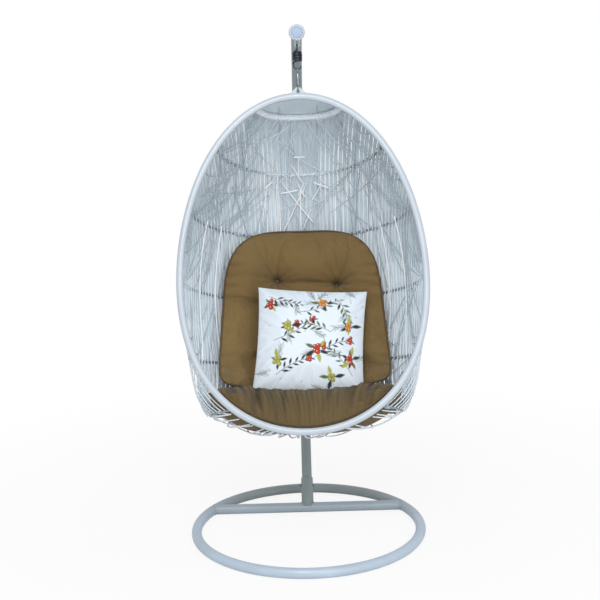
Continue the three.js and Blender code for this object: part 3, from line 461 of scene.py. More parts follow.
def build_post():
    """The two tubes, with the bolts, nuts and spigot that hold them as the CAD has them."""
    lower = post_tube(SOCKET_INSET, JOINT_LENGTH - JOINT_GAP / 2)
    upper = post_tube(JOINT_LENGTH + JOINT_GAP / 2, POST_LENGTH)
    stand_piece("lower_post_tube", [lower], SHADED_POST_COAT, "lower_post")
    stand_piece("upper_post_tube", [upper], SHADED_POST_COAT, "upper_post")
    bolts = ["socket_bolt", "joint_bolt_lower", "joint_bolt_upper"]
    for node in ["post_spigot"] + bolts + [f"{bolt}_nut" for bolt in bolts]:
        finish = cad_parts[node].data.materials
        finish.clear()
        finish.append(ZINC)


def build_cap():
    """The arm's plastic cap: a rounded shell round an inset disc."""
    end = Vector(post_point(POST_LENGTH))
    along = end - Vector(post_point(POST_LENGTH - 0.001))
    face = pointing(end + CAP_GAP * along.normalized(), along)
    r, disc, back = CAP_RADIUS, CAP_DISC, -CAP_SKIRT
    shell = [(0, back), (r - 0.006, back), (r - 0.0045, back + 0.0015), (r - 0.0015, -0.012)]
    shell += [(r - 0.0003, -0.004), (r, 0), (r - 0.0006, 0.004), (r - 0.0024, 0.0072), (r - 0.005, 0.0094)]
    shell += [(disc + 0.0032, 0.0102), (disc + 0.0012, 0.0094), (disc + 0.0006, 0.0064), (0, 0.006)]
    stand_piece("arm_end_cap_shell", [turned(shell, 64, face)], CAP_PLASTIC, "arm_end_cap", slot="cap_plastic")
    inset = [(0, 0.004), (disc - 0.0004, 0.004), (disc - 0.0004, 0.0072), (disc - 0.0014, 0.0086)]
    inset += [(disc * 0.6, 0.0096), (0, 0.010)]
    stand_piece("arm_end_cap_disc", [turned(inset, 64, face)], CAP_BLUE, slot="cap_plastic")


# ---- the hanger ----
EYE_WIRE, EYE_HALF, EYE_BOTTOM, EYE_SHANK, EYE_WELD = 0.0035, 0.0075, 1.921, 0.008, 0.0017
SPRING_WIRE, SPRING_RADIUS, SPRING_NECK, SPRING_TURNS, SPRING_PITCH = 0.0027, 0.0164, 0.0095, 6, 0.0062
TOP_LOOP, BOTTOM_LOOP, CONTACT = 0.0098, 0.014, 0.0004
BARREL_RADIUS, LINK_WIRE, UPPER_EYE, LOWER_EYE = 0.0075, 0.0026, 0.0082, 0.009
BRACKET_WIRE_Z, BRACKET_TOP, BRACKET_BASE, BRACKET_SHOULDER = 1.758, 1.771, 0.060, 0.014
BRACKET_THICKNESS, BRACKET_HOLE = 0.006, 0.0065

TOP_LOOP_Z = EYE_BOTTOM + EYE_WIRE + SPRING_WIRE + CONTACT - TOP_LOOP
COIL_TOP = TOP_LOOP_Z - TOP_LOOP - 0.002
COIL_BOTTOM = COIL_TOP - SPRING_TURNS * SPRING_PITCH
BOTTOM_LOOP_Z = COIL_BOTTOM - BOTTOM_LOOP - 0.003
UPPER_EYE_Z = BOTTOM_LOOP_Z - BOTTOM_LOOP + SPRING_WIRE + LINK_WIRE + CONTACT - UPPER_EYE
BARREL_TOP = UPPER_EYE_Z - UPPER_EYE
LOWER_EYE_Z = BRACKET_WIRE_Z + LOWER_EYE
BARREL_BOTTOM = LOWER_EYE_Z + LOWER_EYE + 0.0025


def smooth_route(points, count):
    """A Catmull-Rom curve through points, evenly spaced by length."""
    points = np.array(points, float)
    knots = [2 * points[0] - points[1], *points, 2 * points[-1] - points[-2]]
    route = []
    for a, b, c, d in zip(knots, knots[1:], knots[2:], knots[3:]):
        for t in np.linspace(0, 1, 12, endpoint=False):
            bend = (2 * a - 5 * b + 4 * c - d) * t**2 + (3 * b - a - 3 * c + d) * t**3
            route.append(0.5 * (2 * b + (c - a) * t + bend))
    route = np.array(route + [knots[-2]])
    lengths = np.concatenate([[0], np.cumsum(np.linalg.norm(np.diff(route, axis=0), axis=1))])
    wanted = np.linspace(0, lengths[-1], count)
    return np.stack([np.interp(wanted, lengths, route[:, k]) for k in range(3)], 1)


def arc(first, last, step=15):
    """Angles from one number of degrees to another."""
    return np.radians(np.arange(first, last + np.sign(step), step))


def spring_points():
    """The spring's centre line: a loop round the eye, the coil and its narrow neck, and an open hook."""
    points = [(0, TOP_LOOP * math.sin(a), TOP_LOOP_Z + TOP_LOOP * math.cos(a)) for a in arc(-150, 90)]
    per_turn, neck_turns = 24, 1.45
    for i in range(1, SPRING_TURNS * per_turn + 1):
        a = math.pi / 2 + 2 * math.pi * i / per_turn
        opening = min(1, max(0, i / per_turn - 0.05) / neck_turns)
        coil = SPRING_NECK + (SPRING_RADIUS - SPRING_NECK) * math.sin(opening * math.pi / 2)
        points.append((coil * math.cos(a), coil * math.sin(a), COIL_TOP - SPRING_PITCH * i / per_turn))
    points.append((-BOTTOM_LOOP - 0.001, 0.009, COIL_BOTTOM - 0.005))
    for a in arc(-80, -260, -15):
        points.append((BOTTOM_LOOP * math.sin(a), 0, BOTTOM_LOOP_Z + BOTTOM_LOOP * math.cos(a)))
    return points


def build_eye():
    """The eye under the arm: a bent rod with a weld at each end."""
    top = APEX_Z - math.sqrt(POST_TUBE**2 - EYE_HALF**2)
    middle = EYE_BOTTOM + EYE_HALF
    eye = [(-EYE_HALF, 0, top + 0.002), (-EYE_HALF, 0, top - EYE_SHANK)]
    eye += [(EYE_HALF * math.cos(a), 0, middle + EYE_HALF * math.sin(a)) for a in arc(180, 360)]
    eye += [(EYE_HALF, 0, top - EYE_SHANK), (EYE_HALF, 0, top + 0.002)]
    forms = [tube(smooth_route(eye, 60), EYE_WIRE, 16)]
    around = full_turn(28)
    for side in (-1, 1):
        x = side * EYE_HALF + EYE_WIRE * 1.15 * np.cos(around)
        y = EYE_WIRE * 1.15 * np.sin(around)
        forms.append(bead(np.stack([x, y, APEX_Z - np.sqrt(POST_TUBE**2 - x**2)], 1), EYE_WELD, 20 + side))
    stand_piece("hanger_eye_rod", forms, COAT, "hanger_eye")


def build_hanger():
    """The spring, which stretches from the eye to the swivel, and the swivel's two parts."""
    spring = [tube(smooth_route(spring_points(), 520), SPRING_WIRE, 14)]
    coil = piece("coil_spring", spring, SPRING_STEEL, None, ["hanger_spring"])
    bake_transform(coil)

    r, low, high = BARREL_RADIUS, BARREL_BOTTOM, BARREL_TOP
    profile = [(0, low), (r - 0.0016, low), (r - 0.0004, low + 0.0005), (r, low + 0.0018), (r, low + 0.011)]
    profile += [(r - 0.0009, low + 0.0118), (r - 0.0009, low + 0.0132), (r, low + 0.014), (r, high - 0.0045)]
    profile += [(r - 0.0008, high - 0.003), (0.0048, high + 0.0006), (0, high + 0.001)]
    forms = [turned(profile, 40), upright_ring(UPPER_EYE, LINK_WIRE, UPPER_EYE_Z)]
    piece("swivel_barrel_body", forms, ZINC, "swivel_bar", ["swivel_barrel"])

    bottom = LOWER_EYE_Z + LOWER_EYE
    pin = [(0, bottom - 0.001), (0.0032, bottom - 0.001), (0.0046, bottom + 0.0012), (0.0046, low - 0.0004)]
    pin += [(0.0041, low - 0.0003), (0.0041, low + 0.003), (0, low + 0.003)]
    forms = [turned(pin, 32), upright_ring(LOWER_EYE, LINK_WIRE, LOWER_EYE_Z)]
    piece("swivel_eye_link", forms, ZINC, "swivel_eye", ["swivel_lower_eye"])


# ---- the bowl, in the basket's own frame: X across, Y into the bowl, Z up the rim ----
def rim_half_width(height):
    return RIM_HALF_WIDTH * (1 - RIM_TAPER * height) * (1 + RIM_FULLNESS * height**2)


def bowl_swell(height, y):
    """How far the bowl's lower half swells out past the rim, sideways and downwards."""
    share = np.minimum(0, height) ** 4 * np.sin(np.pi * np.minimum(1, y / (BOWL_DEPTH * SWELL_DEPTH)))
    return 1 + SIDE_SWELL * share, 1 + BOTTOM_SWELL * share


def bowl_surface(angle, height):
    angle, height = np.broadcast_arrays(np.asarray(angle, float), np.asarray(height, float))
    chord = np.sqrt(np.maximum(0, 1 - height**2))
    y = BOWL_DEPTH * np.maximum(0, chord * np.sin(angle)) ** BOWL_FILL
    side, bottom = bowl_swell(height, y)
    x = rim_half_width(height) * chord * np.cos(angle) * side
    return np.stack([x, y, RIM_HALF_HEIGHT * height * bottom], -1)


def bowl_point(angle, height, outward=0.0):
    """A point of the bowl, moved out along the surface's normal."""
    step = 1e-3
    inside = np.clip(angle, 0.03, np.pi - 0.03)
    level = np.clip(height, -0.995, 0.995)
    along = bowl_surface(inside + step, level) - bowl_surface(inside - step, level)
    up = bowl_surface(inside, level + step) - bowl_surface(inside, level - step)
    return bowl_surface(angle, height) + normalised(np.cross(along, up)) * np.asarray(outward)[..., None]


def angle_at_x(x, height):
    """The bowl's angle where a plane of constant X cuts it at a height."""
    chord = np.sqrt(np.maximum(1e-12, 1 - height**2))
    angle = np.full(height.shape, math.pi / 2)
    for _ in range(30):
        y = BOWL_DEPTH * np.maximum(0, chord * np.sin(angle)) ** BOWL_FILL
        width = rim_half_width(height) * chord * bowl_swell(height, y)[0]
        angle = np.arccos(np.clip(x / width, -1, 1))
    return angle


def rim_height_at(x):
    """The height at which the rim's upper half passes a given X."""
    heights = np.linspace(0.999, 0.0, 1500)
    wide = rim_half_width(heights) * np.sqrt(1 - heights**2)
    return float(heights[np.argmax(wide >= abs(x))])


def top_hoop_height(angle):
    return TOP_HOOP_END + TOP_HOOP_RISE * np.sin(angle)


def rod(name, route, radius, sides, material, node, closed=False):
    form = tube(route, radius, sides, closed)
    piece(name, [form], material, "basket", [node], BASKET)


def build_rods():
    """The rim, the thick hoop, the five hoops, and the ribs outside them."""
    t = full_turn(240)
    rim = np.stack([rim_half_width(np.sin(t)) * np.cos(t), 0 * t, RIM_HALF_HEIGHT * np.sin(t)], 1)
    rod("egg_rim_tube", rim, RIM_TUBE, 22, COAT, "egg_rim", closed=True)
    angles = np.linspace(0.02, np.pi - 0.02, 120)
    top_hoop = bowl_point(angles, top_hoop_height(angles))
    rod("top_hoop_tube", top_hoop, TOP_HOOP_RADIUS, 18, HOOP_COAT, "top_hoop")
    for i, height in enumerate(HOOP_HEIGHTS, 1):
        route = bowl_point(np.linspace(0, np.pi, 120), height)
        rod(f"hoop_{i}_rod", route, HOOP_RADIUS, 12, HOOP_STRAND, f"hoop_{i}")

    steps, outward = 100, HOOP_RADIUS + RIB_RADIUS
    heights = np.linspace(SIDE_RIB_TOP, RIB_BOTTOM, steps)
    routes = [bowl_point(math.radians(angle), heights, outward) for angle in SIDE_RIB_ANGLES]
    for x in UPRIGHT_RIBS:
        top = rim_height_at(x)
        heights = top * np.cos(np.linspace(RIB_START, math.acos(RIB_BOTTOM / top), steps))
        routes.append(bowl_point(angle_at_x(x, heights), heights, outward))
    for i, route in enumerate(routes, 1):
        material = WHITE_STRAND if i <= len(SIDE_RIB_ANGLES) else UPRIGHT_STRAND
        rod(f"rib_{i}_rod", route, RIB_RADIUS, 12, material, f"rib_{i}")


# ---- the weave ----
STRANDS, STRAND_RADIUS = 480, 0.0021
INSIDE_EVERY = 6  # each second strand passes inside one hoop in three, and the rest stay outside them
OPEN_ANGLE, OPEN_EVERY = math.radians(22), 7  # near the rim one strand in seven goes on to the lowest hoop


def level_line(angle, row):
    """The height of the row's rod at an angle: 0 is the thick hoop, then the five hoops."""
    return top_hoop_height(angle) if row == 0 else HOOP_HEIGHTS[row - 1]


def upright_strands(rng):
    """Strands from the rim's top down, upright as seen from the front, most of them outside the hoops."""
    jitter, wander = 0.22, 0.0015
    rest = HOOP_RADIUS + STRAND_RADIUS
    fall = np.concatenate([np.cos(np.linspace(0.03, math.pi / 2, 36)), -np.linspace(0.03, 1, 30)])
    forms = []
    for k in range(STRANDS):
        middle = math.pi * (k + 0.5 + jitter * (rng.random() - 0.5)) / STRANDS
        x = RIM_HALF_WIDTH * math.cos(middle)
        inner = abs(math.cos(middle)) < math.cos(OPEN_ANGLE)
        lowest = HOOP_HEIGHTS[-1] if inner or k % OPEN_EVERY == 0 else HOOP_HEIGHTS[-2]
        heights = np.where(fall > 0, fall * rim_height_at(x), -fall * lowest)
        angle = np.where(heights > 0, angle_at_x(x, np.maximum(heights, 0)), middle)
        knots, offsets = [-1.0, -TOP_HOOP_END - 0.03], [0.0, TOP_HOOP_RADIUS + 0.002]
        for row, height in enumerate(HOOP_HEIGHTS):
            knots.append(-height)
            offsets.append(rest if (2 * row + k) % INSIDE_EVERY else -rest)
        offsets[-1] = 0.0
        outward = np.interp(-heights, knots, offsets)
        sway = wander * np.sin(heights * rng.uniform(2, 6) + rng.uniform(0, 6)) * np.sin(angle)
        route = bowl_point(np.clip(angle + sway, 0.02, np.pi - 0.02), heights, outward)
        forms.append(tube(route, STRAND_RADIUS * rng.uniform(0.9, 1.08), 5))
    return forms


def slanted_strands(rng, count, radius, most, edges):
    """Random straight strands between one rod and the next; edges says how much they keep to the sides."""
    forms = []
    steps = 26
    for _ in range(count):
        row = rng.choice((0, 0, 1, 1, 1, 2, 3, 4))
        start = 0.06 + (math.pi - 0.12) * rng.betavariate(edges, edges)
        end = min(math.pi - 0.05, max(0.05, start + rng.uniform(-most, most)))
        low = level_line(end, min(len(HOOP_HEIGHTS), row + rng.choice((1, 1, 2))))
        high = level_line(start, row)
        if rng.random() < 0.35:
            low = high + (low - high) * rng.uniform(0.35, 0.9)
        if rng.random() < 0.25:
            high = high + (low - high) * rng.uniform(0.1, 0.5)
        heights = high + (low - high) * np.linspace(0, 1, steps)
        ends = bowl_surface((start, end), (high, low))[:, 0]
        angles = np.clip(angle_at_x(np.linspace(ends[0], ends[1], steps), heights), 0.04, math.pi - 0.04)
        inside = -(HOOP_RADIUS + radius) * np.sin(np.pi * np.linspace(0.12, 0.88, steps)) - 0.002
        forms.append(tube(bowl_point(angles, heights, inside), radius, 7))
    return forms


def strand_between(start, end):
    """One strand on the bowl's inner side between two points, each an X and a height."""
    radius, inside = 0.0033, 0.009
    t = np.linspace(0, 1, 14)
    x = start[0] + (end[0] - start[0]) * t
    heights = start[1] + (end[1] - start[1]) * t
    return tube(bowl_point(angle_at_x(x, heights), heights, -inside), radius, 8)


def middle_knot():
    """The strands that cross and knot in the middle of the back, under the first hoop."""
    crossings = [
        ((-0.004, 0.80), (-0.004, 0.69)), ((-0.024, 0.80), (0.022, 0.80)), ((-0.075, 0.66), (0.055, 0.42)),
        ((-0.075, 0.36), (0.012, 0.62)), ((0.004, 0.62), (-0.004, 0.33)), ((0.000, 0.62), (0.006, 0.33)),
        ((-0.080, 0.60), (-0.010, 0.62)), ((0.012, 0.38), (0.046, 0.50)), ((-0.034, 0.76), (0.014, 0.66)),
        ((0.090, 0.64), (0.055, 0.56)), ((-0.150, 0.62), (-0.118, 0.66)), ((-0.138, 0.64), (-0.165, 0.42)),
        ((-0.100, 0.65), (-0.098, 0.32)), ((-0.010, 0.66), (0.020, 0.58)), ((0.020, 0.66), (-0.008, 0.59)),
        ((0.028, 0.66), (0.012, 0.60)), ((0.120, 0.62), (0.060, 0.66)),
    ]
    return [strand_between(start, end) for start, end in crossings]


def rib_strands():
    """White strands on the bowl's inner side, along the side ribs."""
    heights = np.linspace(SIDE_RIB_TOP, HOOP_HEIGHTS[3], 60)
    inside = -HOOP_RADIUS - 0.0035
    return [tube(bowl_point(math.radians(angle), heights, inside), 0.003, 8) for angle in SIDE_RIB_ANGLES]


def hoop_axes(angle, height, along):
    """The directions out of the bowl and across a hoop, where the hoop runs along a direction."""
    outward = normalised(bowl_point(angle, height, 0.01) - bowl_point(angle, height))
    return outward, normalised(np.cross(outward, along))


def hoop_teeth(rng):
    """Strand ends tied round the thick hoop: a short coil and a tail that hangs below it."""
    count, reach = 26, TOP_HOOP_RADIUS + 0.0016
    t = np.linspace(0, 1, 20)[:, None]
    turn = 2 * np.pi * 1.1 * t
    fall = np.linspace(0, 1, 8)[:, None]
    forms = []
    for k in range(count):
        angle = math.pi * (0.10 + 0.80 * (k + 0.5 + 0.3 * (rng.random() - 0.5)) / count)
        level = float(top_hoop_height(angle))
        centre = bowl_point(angle, level)
        along = normalised(bowl_point(angle + 0.01, level) - centre)
        outward, up = hoop_axes(angle, level, along)
        coil = centre + reach * (np.cos(turn) * up - np.sin(turn) * outward) + (t - 0.5) * 0.006 * along
        forms.append(tube(coil, 0.0017, 7))
        length = rng.uniform(0.018, 0.038)
        slant = rng.uniform(-0.35, 0.35) * length
        down = -up if up[2] > 0 else up
        tail = centre + down * (reach * 0.7 + length * fall) + along * slant * fall - outward * 0.004
        forms.append(tube(tail, 0.0019, 7))
    return forms


def wraps(rng, count):
    """Short tight coils of strand round the hoops."""
    pitch, reach = 0.0105, HOOP_RADIUS + STRAND_RADIUS * 0.7
    forms = []
    for _ in range(count):
        height = rng.choice(HOOP_HEIGHTS)
        middle = rng.uniform(0.06, math.pi - 0.06)
        turns = rng.choice((2, 3, 4))
        t = np.linspace(0, 1, turns * 12)
        centre = bowl_point(middle + (t - 0.5) * turns * pitch, height)
        outward, up = hoop_axes(middle, height, normalised(centre[-1] - centre[0]))
        turn = (2 * np.pi * turns * t)[:, None]
        coil = centre + reach * (np.cos(turn) * outward + np.sin(turn) * up)
        forms.append(tube(coil, STRAND_RADIUS * 0.95, 6))
    return forms


def floor_strands(rng, count):
    """Loose crossing strands under the seat, from the lowest hoop forward to the rim."""
    low = HOOP_HEIGHTS[-1]
    rim_end = math.asin(-low)
    forms = []
    for k in range(count):
        start = math.pi * (k + rng.random()) / count
        end = min(math.pi - 0.12, max(0.12, start + rng.uniform(-0.7, 0.7)))
        on_hoop = np.array([math.sqrt(1 - low * low) * math.cos(start), low])
        rim_angle = rim_end + (math.pi - 2 * rim_end) * end / math.pi
        on_rim = np.array([math.cos(rim_angle), -math.sin(rim_angle)]) * 0.9995
        spot = on_hoop + (on_rim - on_hoop) * np.sin(np.linspace(0, 1, 40) * math.pi / 2)[:, None] ** 2
        chord = np.sqrt(np.maximum(1e-9, 1 - spot[:, 1] ** 2))
        around = np.arccos(np.clip(spot[:, 0] / chord, -1, 1))
        forms.append(tube(bowl_point(around, spot[:, 1]), STRAND_RADIUS * 1.2, 7))
    return forms


def weave_piece(name, forms, material, nodes=()):
    piece(name, forms, material, "basket", nodes, BASKET, sharp=80)


def build_weave():
    rng = random.Random(7)
    nodes = [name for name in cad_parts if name.startswith("weave_") and "bottom" not in name]
    weave_piece("fine_weave", upright_strands(rng), STRAND, nodes)
    loose = slanted_strands(rng, 84, STRAND_RADIUS * 0.85, 0.8, 0.7)
    loose += slanted_strands(rng, 50, STRAND_RADIUS * 0.8, 0.2, 0.8)
    loose += slanted_strands(rng, 26, STRAND_RADIUS * 0.8, 1.5, 0.8)
    loose += wraps(rng, 90)
    loose += hoop_teeth(rng)
    weave_piece("loose_strands", loose, LOOSE_STRAND)
    weave_piece("middle_knot_strands", middle_knot() + rib_strands(), KNOT_STRAND)
    under = floor_strands(rng, 15) + floor_strands(rng, 9)
    weave_piece("floor_weave", under, WHITE_STRAND, ["weave_bottom_right", "weave_bottom_left"])


# ---- the hanging bracket ----
def ray_to_outline(origin, direction, outline):
    """Where a ray from origin meets a closed outline of (x, z) corners."""
    best = None
    for (x1, z1), (x2, z2) in zip(outline, outline[1:] + outline[:1]):
        ex, ez = x2 - x1, z2 - z1
        denominator = direction[0] * ez - direction[1] * ex
        if abs(denominator) < 1e-12:
            continue
        dx, dz = x1 - origin[0], z1 - origin[1]
        t = (dx * ez - dz * ex) / denominator
        u = (dx * direction[1] - dz * direction[0]) / denominator
        if t > 0 and -1e-9 <= u <= 1 + 1e-9 and (best is None or t < best):
            best = t
    return (origin[0] + best * direction[0], origin[1] + best * direction[1])


def build_bracket():
    """The three-cornered plate on the rim's top, with chamfered edges and its hole."""
    half, edge, steps = BRACKET_BASE / 2, 0.0008, 48
    top = BRACKET_TOP
    outline = [(half, RIM_TOP_Z + BRACKET_SHOULDER * 0.55), (half - 0.002, RIM_TOP_Z + BRACKET_SHOULDER)]
    outline += [(0.0105, top - 0.003), (0.0085, top - 0.0008), (0.006, top)]
    outline += [(-x, z) for x, z in reversed(outline)]
    centre = BRACKET_WIRE_Z + LINK_WIRE + 3 * CONTACT - BRACKET_HOLE
    hole, loop = [], []
    for angle in full_turn(steps):
        x, z = BRACKET_HOLE * math.cos(angle), centre + BRACKET_HOLE * math.sin(angle)
        hole.append((x, z))
        loop.append(ray_to_outline((0, centre), Vector((x, z - centre)).normalized(), outline))
    vertices, faces = [], []
    grow = 1 + edge / BRACKET_HOLE
    for side in (-1, 1):
        y = side * BRACKET_THICKNESS / 2
        for (ox, oz), (ix, iz) in zip(loop, hole):
            shrink = 1 - edge / math.hypot(ox, oz - centre)
            vertices += [(ox, y - side * edge, oz), (ox * shrink, y, centre + (oz - centre) * shrink)]
            vertices += [(ix * grow, y, centre + (iz - centre) * grow), (ix, y - side * edge, iz)]
    far = 4 * steps
    for i in range(steps):
        a, b = 4 * i, 4 * ((i + 1) % steps)
        for k in range(3):
            faces.append((a + k, b + k, b + k + 1, a + k + 1))
            faces.append((far + a + k + 1, far + b + k + 1, far + b + k, far + a + k))
        faces.append((a, far + a, far + b, b))
        faces.append((a + 3, b + 3, far + b + 3, far + a + 3))
    piece("hanging_bracket_plate", [(vertices, faces)], COAT, "basket", ["hanging_bracket"])


# ---- pads ----
def read(collection, name, width=1, kind=float):
    values = np.zeros(len(collection) * width, kind)
    collection.foreach_get(name, values)
    return values


def coordinates(mesh):
    return read(mesh.vertices, "co", 3).reshape(-1, 3)


def set_coordinates(mesh, values):
    mesh.vertices.foreach_set("co", np.asarray(values, float).ravel())
    mesh.update()


def save_layer(mesh, name, values):
    layer = mesh.attributes.new(name, "FLOAT", "POINT")
    layer.data.foreach_set("value", np.asarray(values).astype(np.float32))


def in_front(thing):
    """Which points of a pad are on its front sheet."""
    return read(thing.data.attributes["front"].data, "value", kind=np.float32) > 0.5


def pad(name, place, steps, size, material, matrix):
    """A closed pad: front and back sheets on a square grid that share their edge."""
    u, v = np.meshgrid(np.linspace(-1, 1, steps + 1), np.linspace(-1, 1, steps + 1), indexing="ij")
    index = np.arange(u.size).reshape(u.shape)
    behind = index.copy()
    behind[1:-1, 1:-1] = u.size + np.arange((steps - 1) ** 2).reshape(steps - 1, steps - 1)
    vertices = np.zeros((behind.max() + 1, 3))
    spots = np.zeros((len(vertices), 2))
    for side, sheet in ((-1, behind), (1, index)):
        vertices[sheet] = place(u, v, side)
        spots[sheet] = np.stack([u * size[0] / 2, v * size[1] / 2], -1)
    faces = []
    for i in range(steps):
        for j in range(steps):
            quad = [(i, j), (i + 1, j), (i + 1, j + 1), (i, j + 1)]
            faces.append([int(index[q]) for q in quad])
            faces.append([int(behind[q]) for q in reversed(quad)])
    mesh = bpy.data.meshes.new(name)
    mesh.from_pydata([tuple(p) for p in vertices], [], faces)
    corners = read(mesh.loops, "vertex_index", kind=int)
    mesh.uv_layers.new(name="cloth").data.foreach_set("uv", spots[corners].ravel())
    save_layer(mesh, "front", np.arange(len(vertices)) < u.size)
    mesh.transform(matrix)
    mesh.shade_smooth()
    mesh.materials.append(material)
    border = np.concatenate([index[:-1, 0], index[-1, :-1], index[:0:-1, -1], index[0, :0:-1]])
    return new_object(name, mesh), border


def evaluated(thing):
    return thing.evaluated_get(bpy.context.evaluated_depsgraph_get())


def inflate(thing, pinned, cap, pressure=4.0, spare=0.02):
    """Blow the pad up as cloth, held at the pinned points; no point moves further than the cap."""
    group = thing.vertex_groups.new(name="pinned")
    group.add([int(i) for i in pinned], 1.0, "REPLACE")
    cloth = thing.modifiers.new("cloth", "CLOTH")
    settings = cloth.settings
    settings.quality = 5
    settings.mass = 0.25
    settings.tension_stiffness = settings.compression_stiffness = 12
    settings.shear_stiffness = 4
    settings.bending_stiffness = 0.4
    settings.use_pressure = True
    settings.uniform_pressure_force = pressure
    settings.shrink_min = -spare
    settings.vertex_group_mass = "pinned"
    settings.effector_weights.gravity = 0
    cloth.collision_settings.use_collision = False
    rest = coordinates(thing.data)
    scene = bpy.context.scene
    for number in range(1, 21):
        scene.frame_set(number)
    moved = coordinates(evaluated(thing).to_mesh()) - rest
    evaluated(thing).to_mesh_clear()
    length = np.linalg.norm(moved, axis=1, keepdims=True)
    moved *= np.minimum(1, cap / np.maximum(length, 1e-9))
    thing.modifiers.remove(cloth)
    thing.vertex_groups.clear()
    scene.frame_set(1)
    set_coordinates(thing.data, rest + moved)


def subdivide(thing, levels=1):
    smoother = thing.modifiers.new("smooth", "SUBSURF")
    smoother.levels = smoother.render_levels = levels
    smoother.boundary_smooth = "PRESERVE_CORNERS"
    bpy.context.view_layer.update()
    shaped = bpy.data.meshes.new_from_object(evaluated(thing))
    thing.modifiers.remove(smoother)
    thing.data = shaped


def seam_tube(name, thing, border, radius):
    """A piping cord along the pad's edge."""
    points = coordinates(thing.data)[border]
    smooth = (np.roll(points, 1, 0) + points * 2 + np.roll(points, -1, 0)) / 4
    forms = [tube(smooth, radius, 8, closed=True)]
    piece(name, forms, PIPING, "basket", matrix=UNMOVED, sharp=80)


def stand_for(thing, node):
    """The finished pad rides on the basket in its CAD node's place."""
    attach(thing, "basket")
    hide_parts(node)


def on_disc(place):
    """Turns a place(share, angle, side) for a round pad into one for the square grid."""

    def placed(u, v, side):
        x, y = u * np.sqrt(1 - v * v / 2), v * np.sqrt(1 - u * u / 2)
        return place(np.minimum(1, np.hypot(x, y)), np.arctan2(y, x), side)

    return placed


# ---- the back cushion, in the basket's own frame ----
BACK = dict(half=0.320, bottom=-0.442, top=0.213, taper=0.055, depth=0.590, wrap=0.150, gap=0.028)
BACK_TOP_SQUARE, BACK_BOTTOM_SQUARE, BACK_THICKNESS = 3.2, 15, 0.104
TUFT_ROWS = (((-0.105, 0.008), (0.147, -0.016)), ((-0.105, -0.100), (0.147, -0.118)))
TUFTS = [tuft for row in TUFT_ROWS for tuft in row]
BUTTON = [(0, -0.004), (0.006, -0.003), (0.0085, 0.0), (0.0075, 0.0022), (0.004, 0.0036), (0, 0.004)]


def superellipse(angle, power):
    c, s = np.cos(angle), np.sin(angle)
    return np.sign(c) * np.abs(c) ** (2 / power), np.sign(s) * np.abs(s) ** (2 / power)


def crease_line(row, x, full, ends, run):
    """The height of a row of tufts at an X, and the crease's strength there, which fades past the row's ends."""
    (left, left_z), (right, right_z) = row
    level = left_z + (right_z - left_z) * (x - left) / (right - left)
    beyond = np.maximum(0, np.maximum(left - x, x - right))
    return level, np.where(beyond > 0, ends * np.clip(1 - beyond / run, 0, 1), full)


def wall_depth(x, z):
    height = z / RIM_HALF_HEIGHT
    across = x / rim_half_width(height)
    return BOWL_DEPTH * np.maximum(0, 1 - across**2 - height**2) ** (BOWL_FILL / 2)


def back_cushion_place(share, angle, side):
    """The back cushion leans in the bowl and wraps forward at its sides; four tufts pull in its front."""
    c = BACK
    sx, sz = superellipse(angle, np.where(np.sin(angle) > 0, BACK_TOP_SQUARE, BACK_BOTTOM_SQUARE))
    narrower = (1 - c["taper"] * sz * share) * (1 - 0.05 * np.maximum(0, -sz * share) ** 5)
    x = c["half"] * sx * share * narrower
    z = (c["top"] + c["bottom"]) / 2 + (c["top"] - c["bottom"]) / 2 * sz * share
    back = np.minimum(c["depth"] - c["wrap"] * (x / c["half"]) ** 2, wall_depth(x, z) - c["gap"])
    half = BACK_THICKNESS / 2
    crown = 0.82 * np.sqrt(np.maximum(0, 1 - share**5))
    dimple = 0
    if side > 0:
        for tx, tz in TUFTS:
            dimple = dimple + 0.036 * np.exp(-np.hypot(x - tx, z - tz) / 0.030)
        for row, ends in zip(TUFT_ROWS, (0.35, 0.9)):
            level, strength = crease_line(row, x, 1.0, ends, 0.26)
            dimple = dimple + 0.010 * strength * np.exp(-(((z - level) / 0.013) ** 2))
    return np.stack([x, back - half - side * half * crown + dimple, z], -1)


def back_creases(thing, local):
    """Presses the tufts in, with creases that run out from them and across to the cushion's sides, and stores
    painted shade for them.
    """
    x, z = local[:, 0], local[:, 2]
    front = in_front(thing)
    depth, crease_shade = 0, 0
    for k, (tx, tz) in enumerate(TUFTS):
        away = np.hypot(x - tx, z - tz)
        around = np.arctan2(z - tz, x - tx)
        spokes = (0.5 + 0.5 * np.cos(9 * around + k + 1.2 * np.sin(2 * around + k))) ** 3
        reach = spokes * np.exp(-away / 0.038) * (1 - np.exp(-away / 0.006))
        hollow = np.exp(-((away / 0.015) ** 2))
        depth = depth + 0.016 * hollow + 0.0065 * reach
        crease_shade = crease_shade + 0.8 * hollow + 0.65 * reach
    for row, ends in zip(TUFT_ROWS, (0.45, 0.9)):
        level, strength = crease_line(row, x, 0.9, ends, 0.25)
        line = level + 0.004 * np.sin(21 * x + level * 30)
        groove = strength * np.exp(-(((z - line) / 0.0055) ** 2))
        depth = depth + 0.0065 * groove + 0.006 * strength * np.exp(-(((z - line) / 0.02) ** 2))
        crease_shade = crease_shade + 0.55 * groove
    width = BACK["half"] * (1 - BACK["taper"] * (z / 0.3))
    edge = np.clip((np.abs(x) / width - 0.72) / 0.25, 0, 1)
    pucker = edge * (0.5 + 0.5 * np.sin(115 * z + 2 * np.sin(17 * z) + np.sign(x))) ** 3
    depth = np.where(front, depth + 0.005 * pucker, 0)
    inwards = np.array(BASKET.to_3x3() @ Vector((0, 1, 0)))
    set_coordinates(thing.data, coordinates(thing.data) + inwards * depth[:, None])
    # painted shade for the tufts, creases and puckers, which the canvas darkens by
    save_layer(thing.data, "crease_shade", np.clip(np.where(front, crease_shade + 0.30 * pucker, 0), 0, 1))


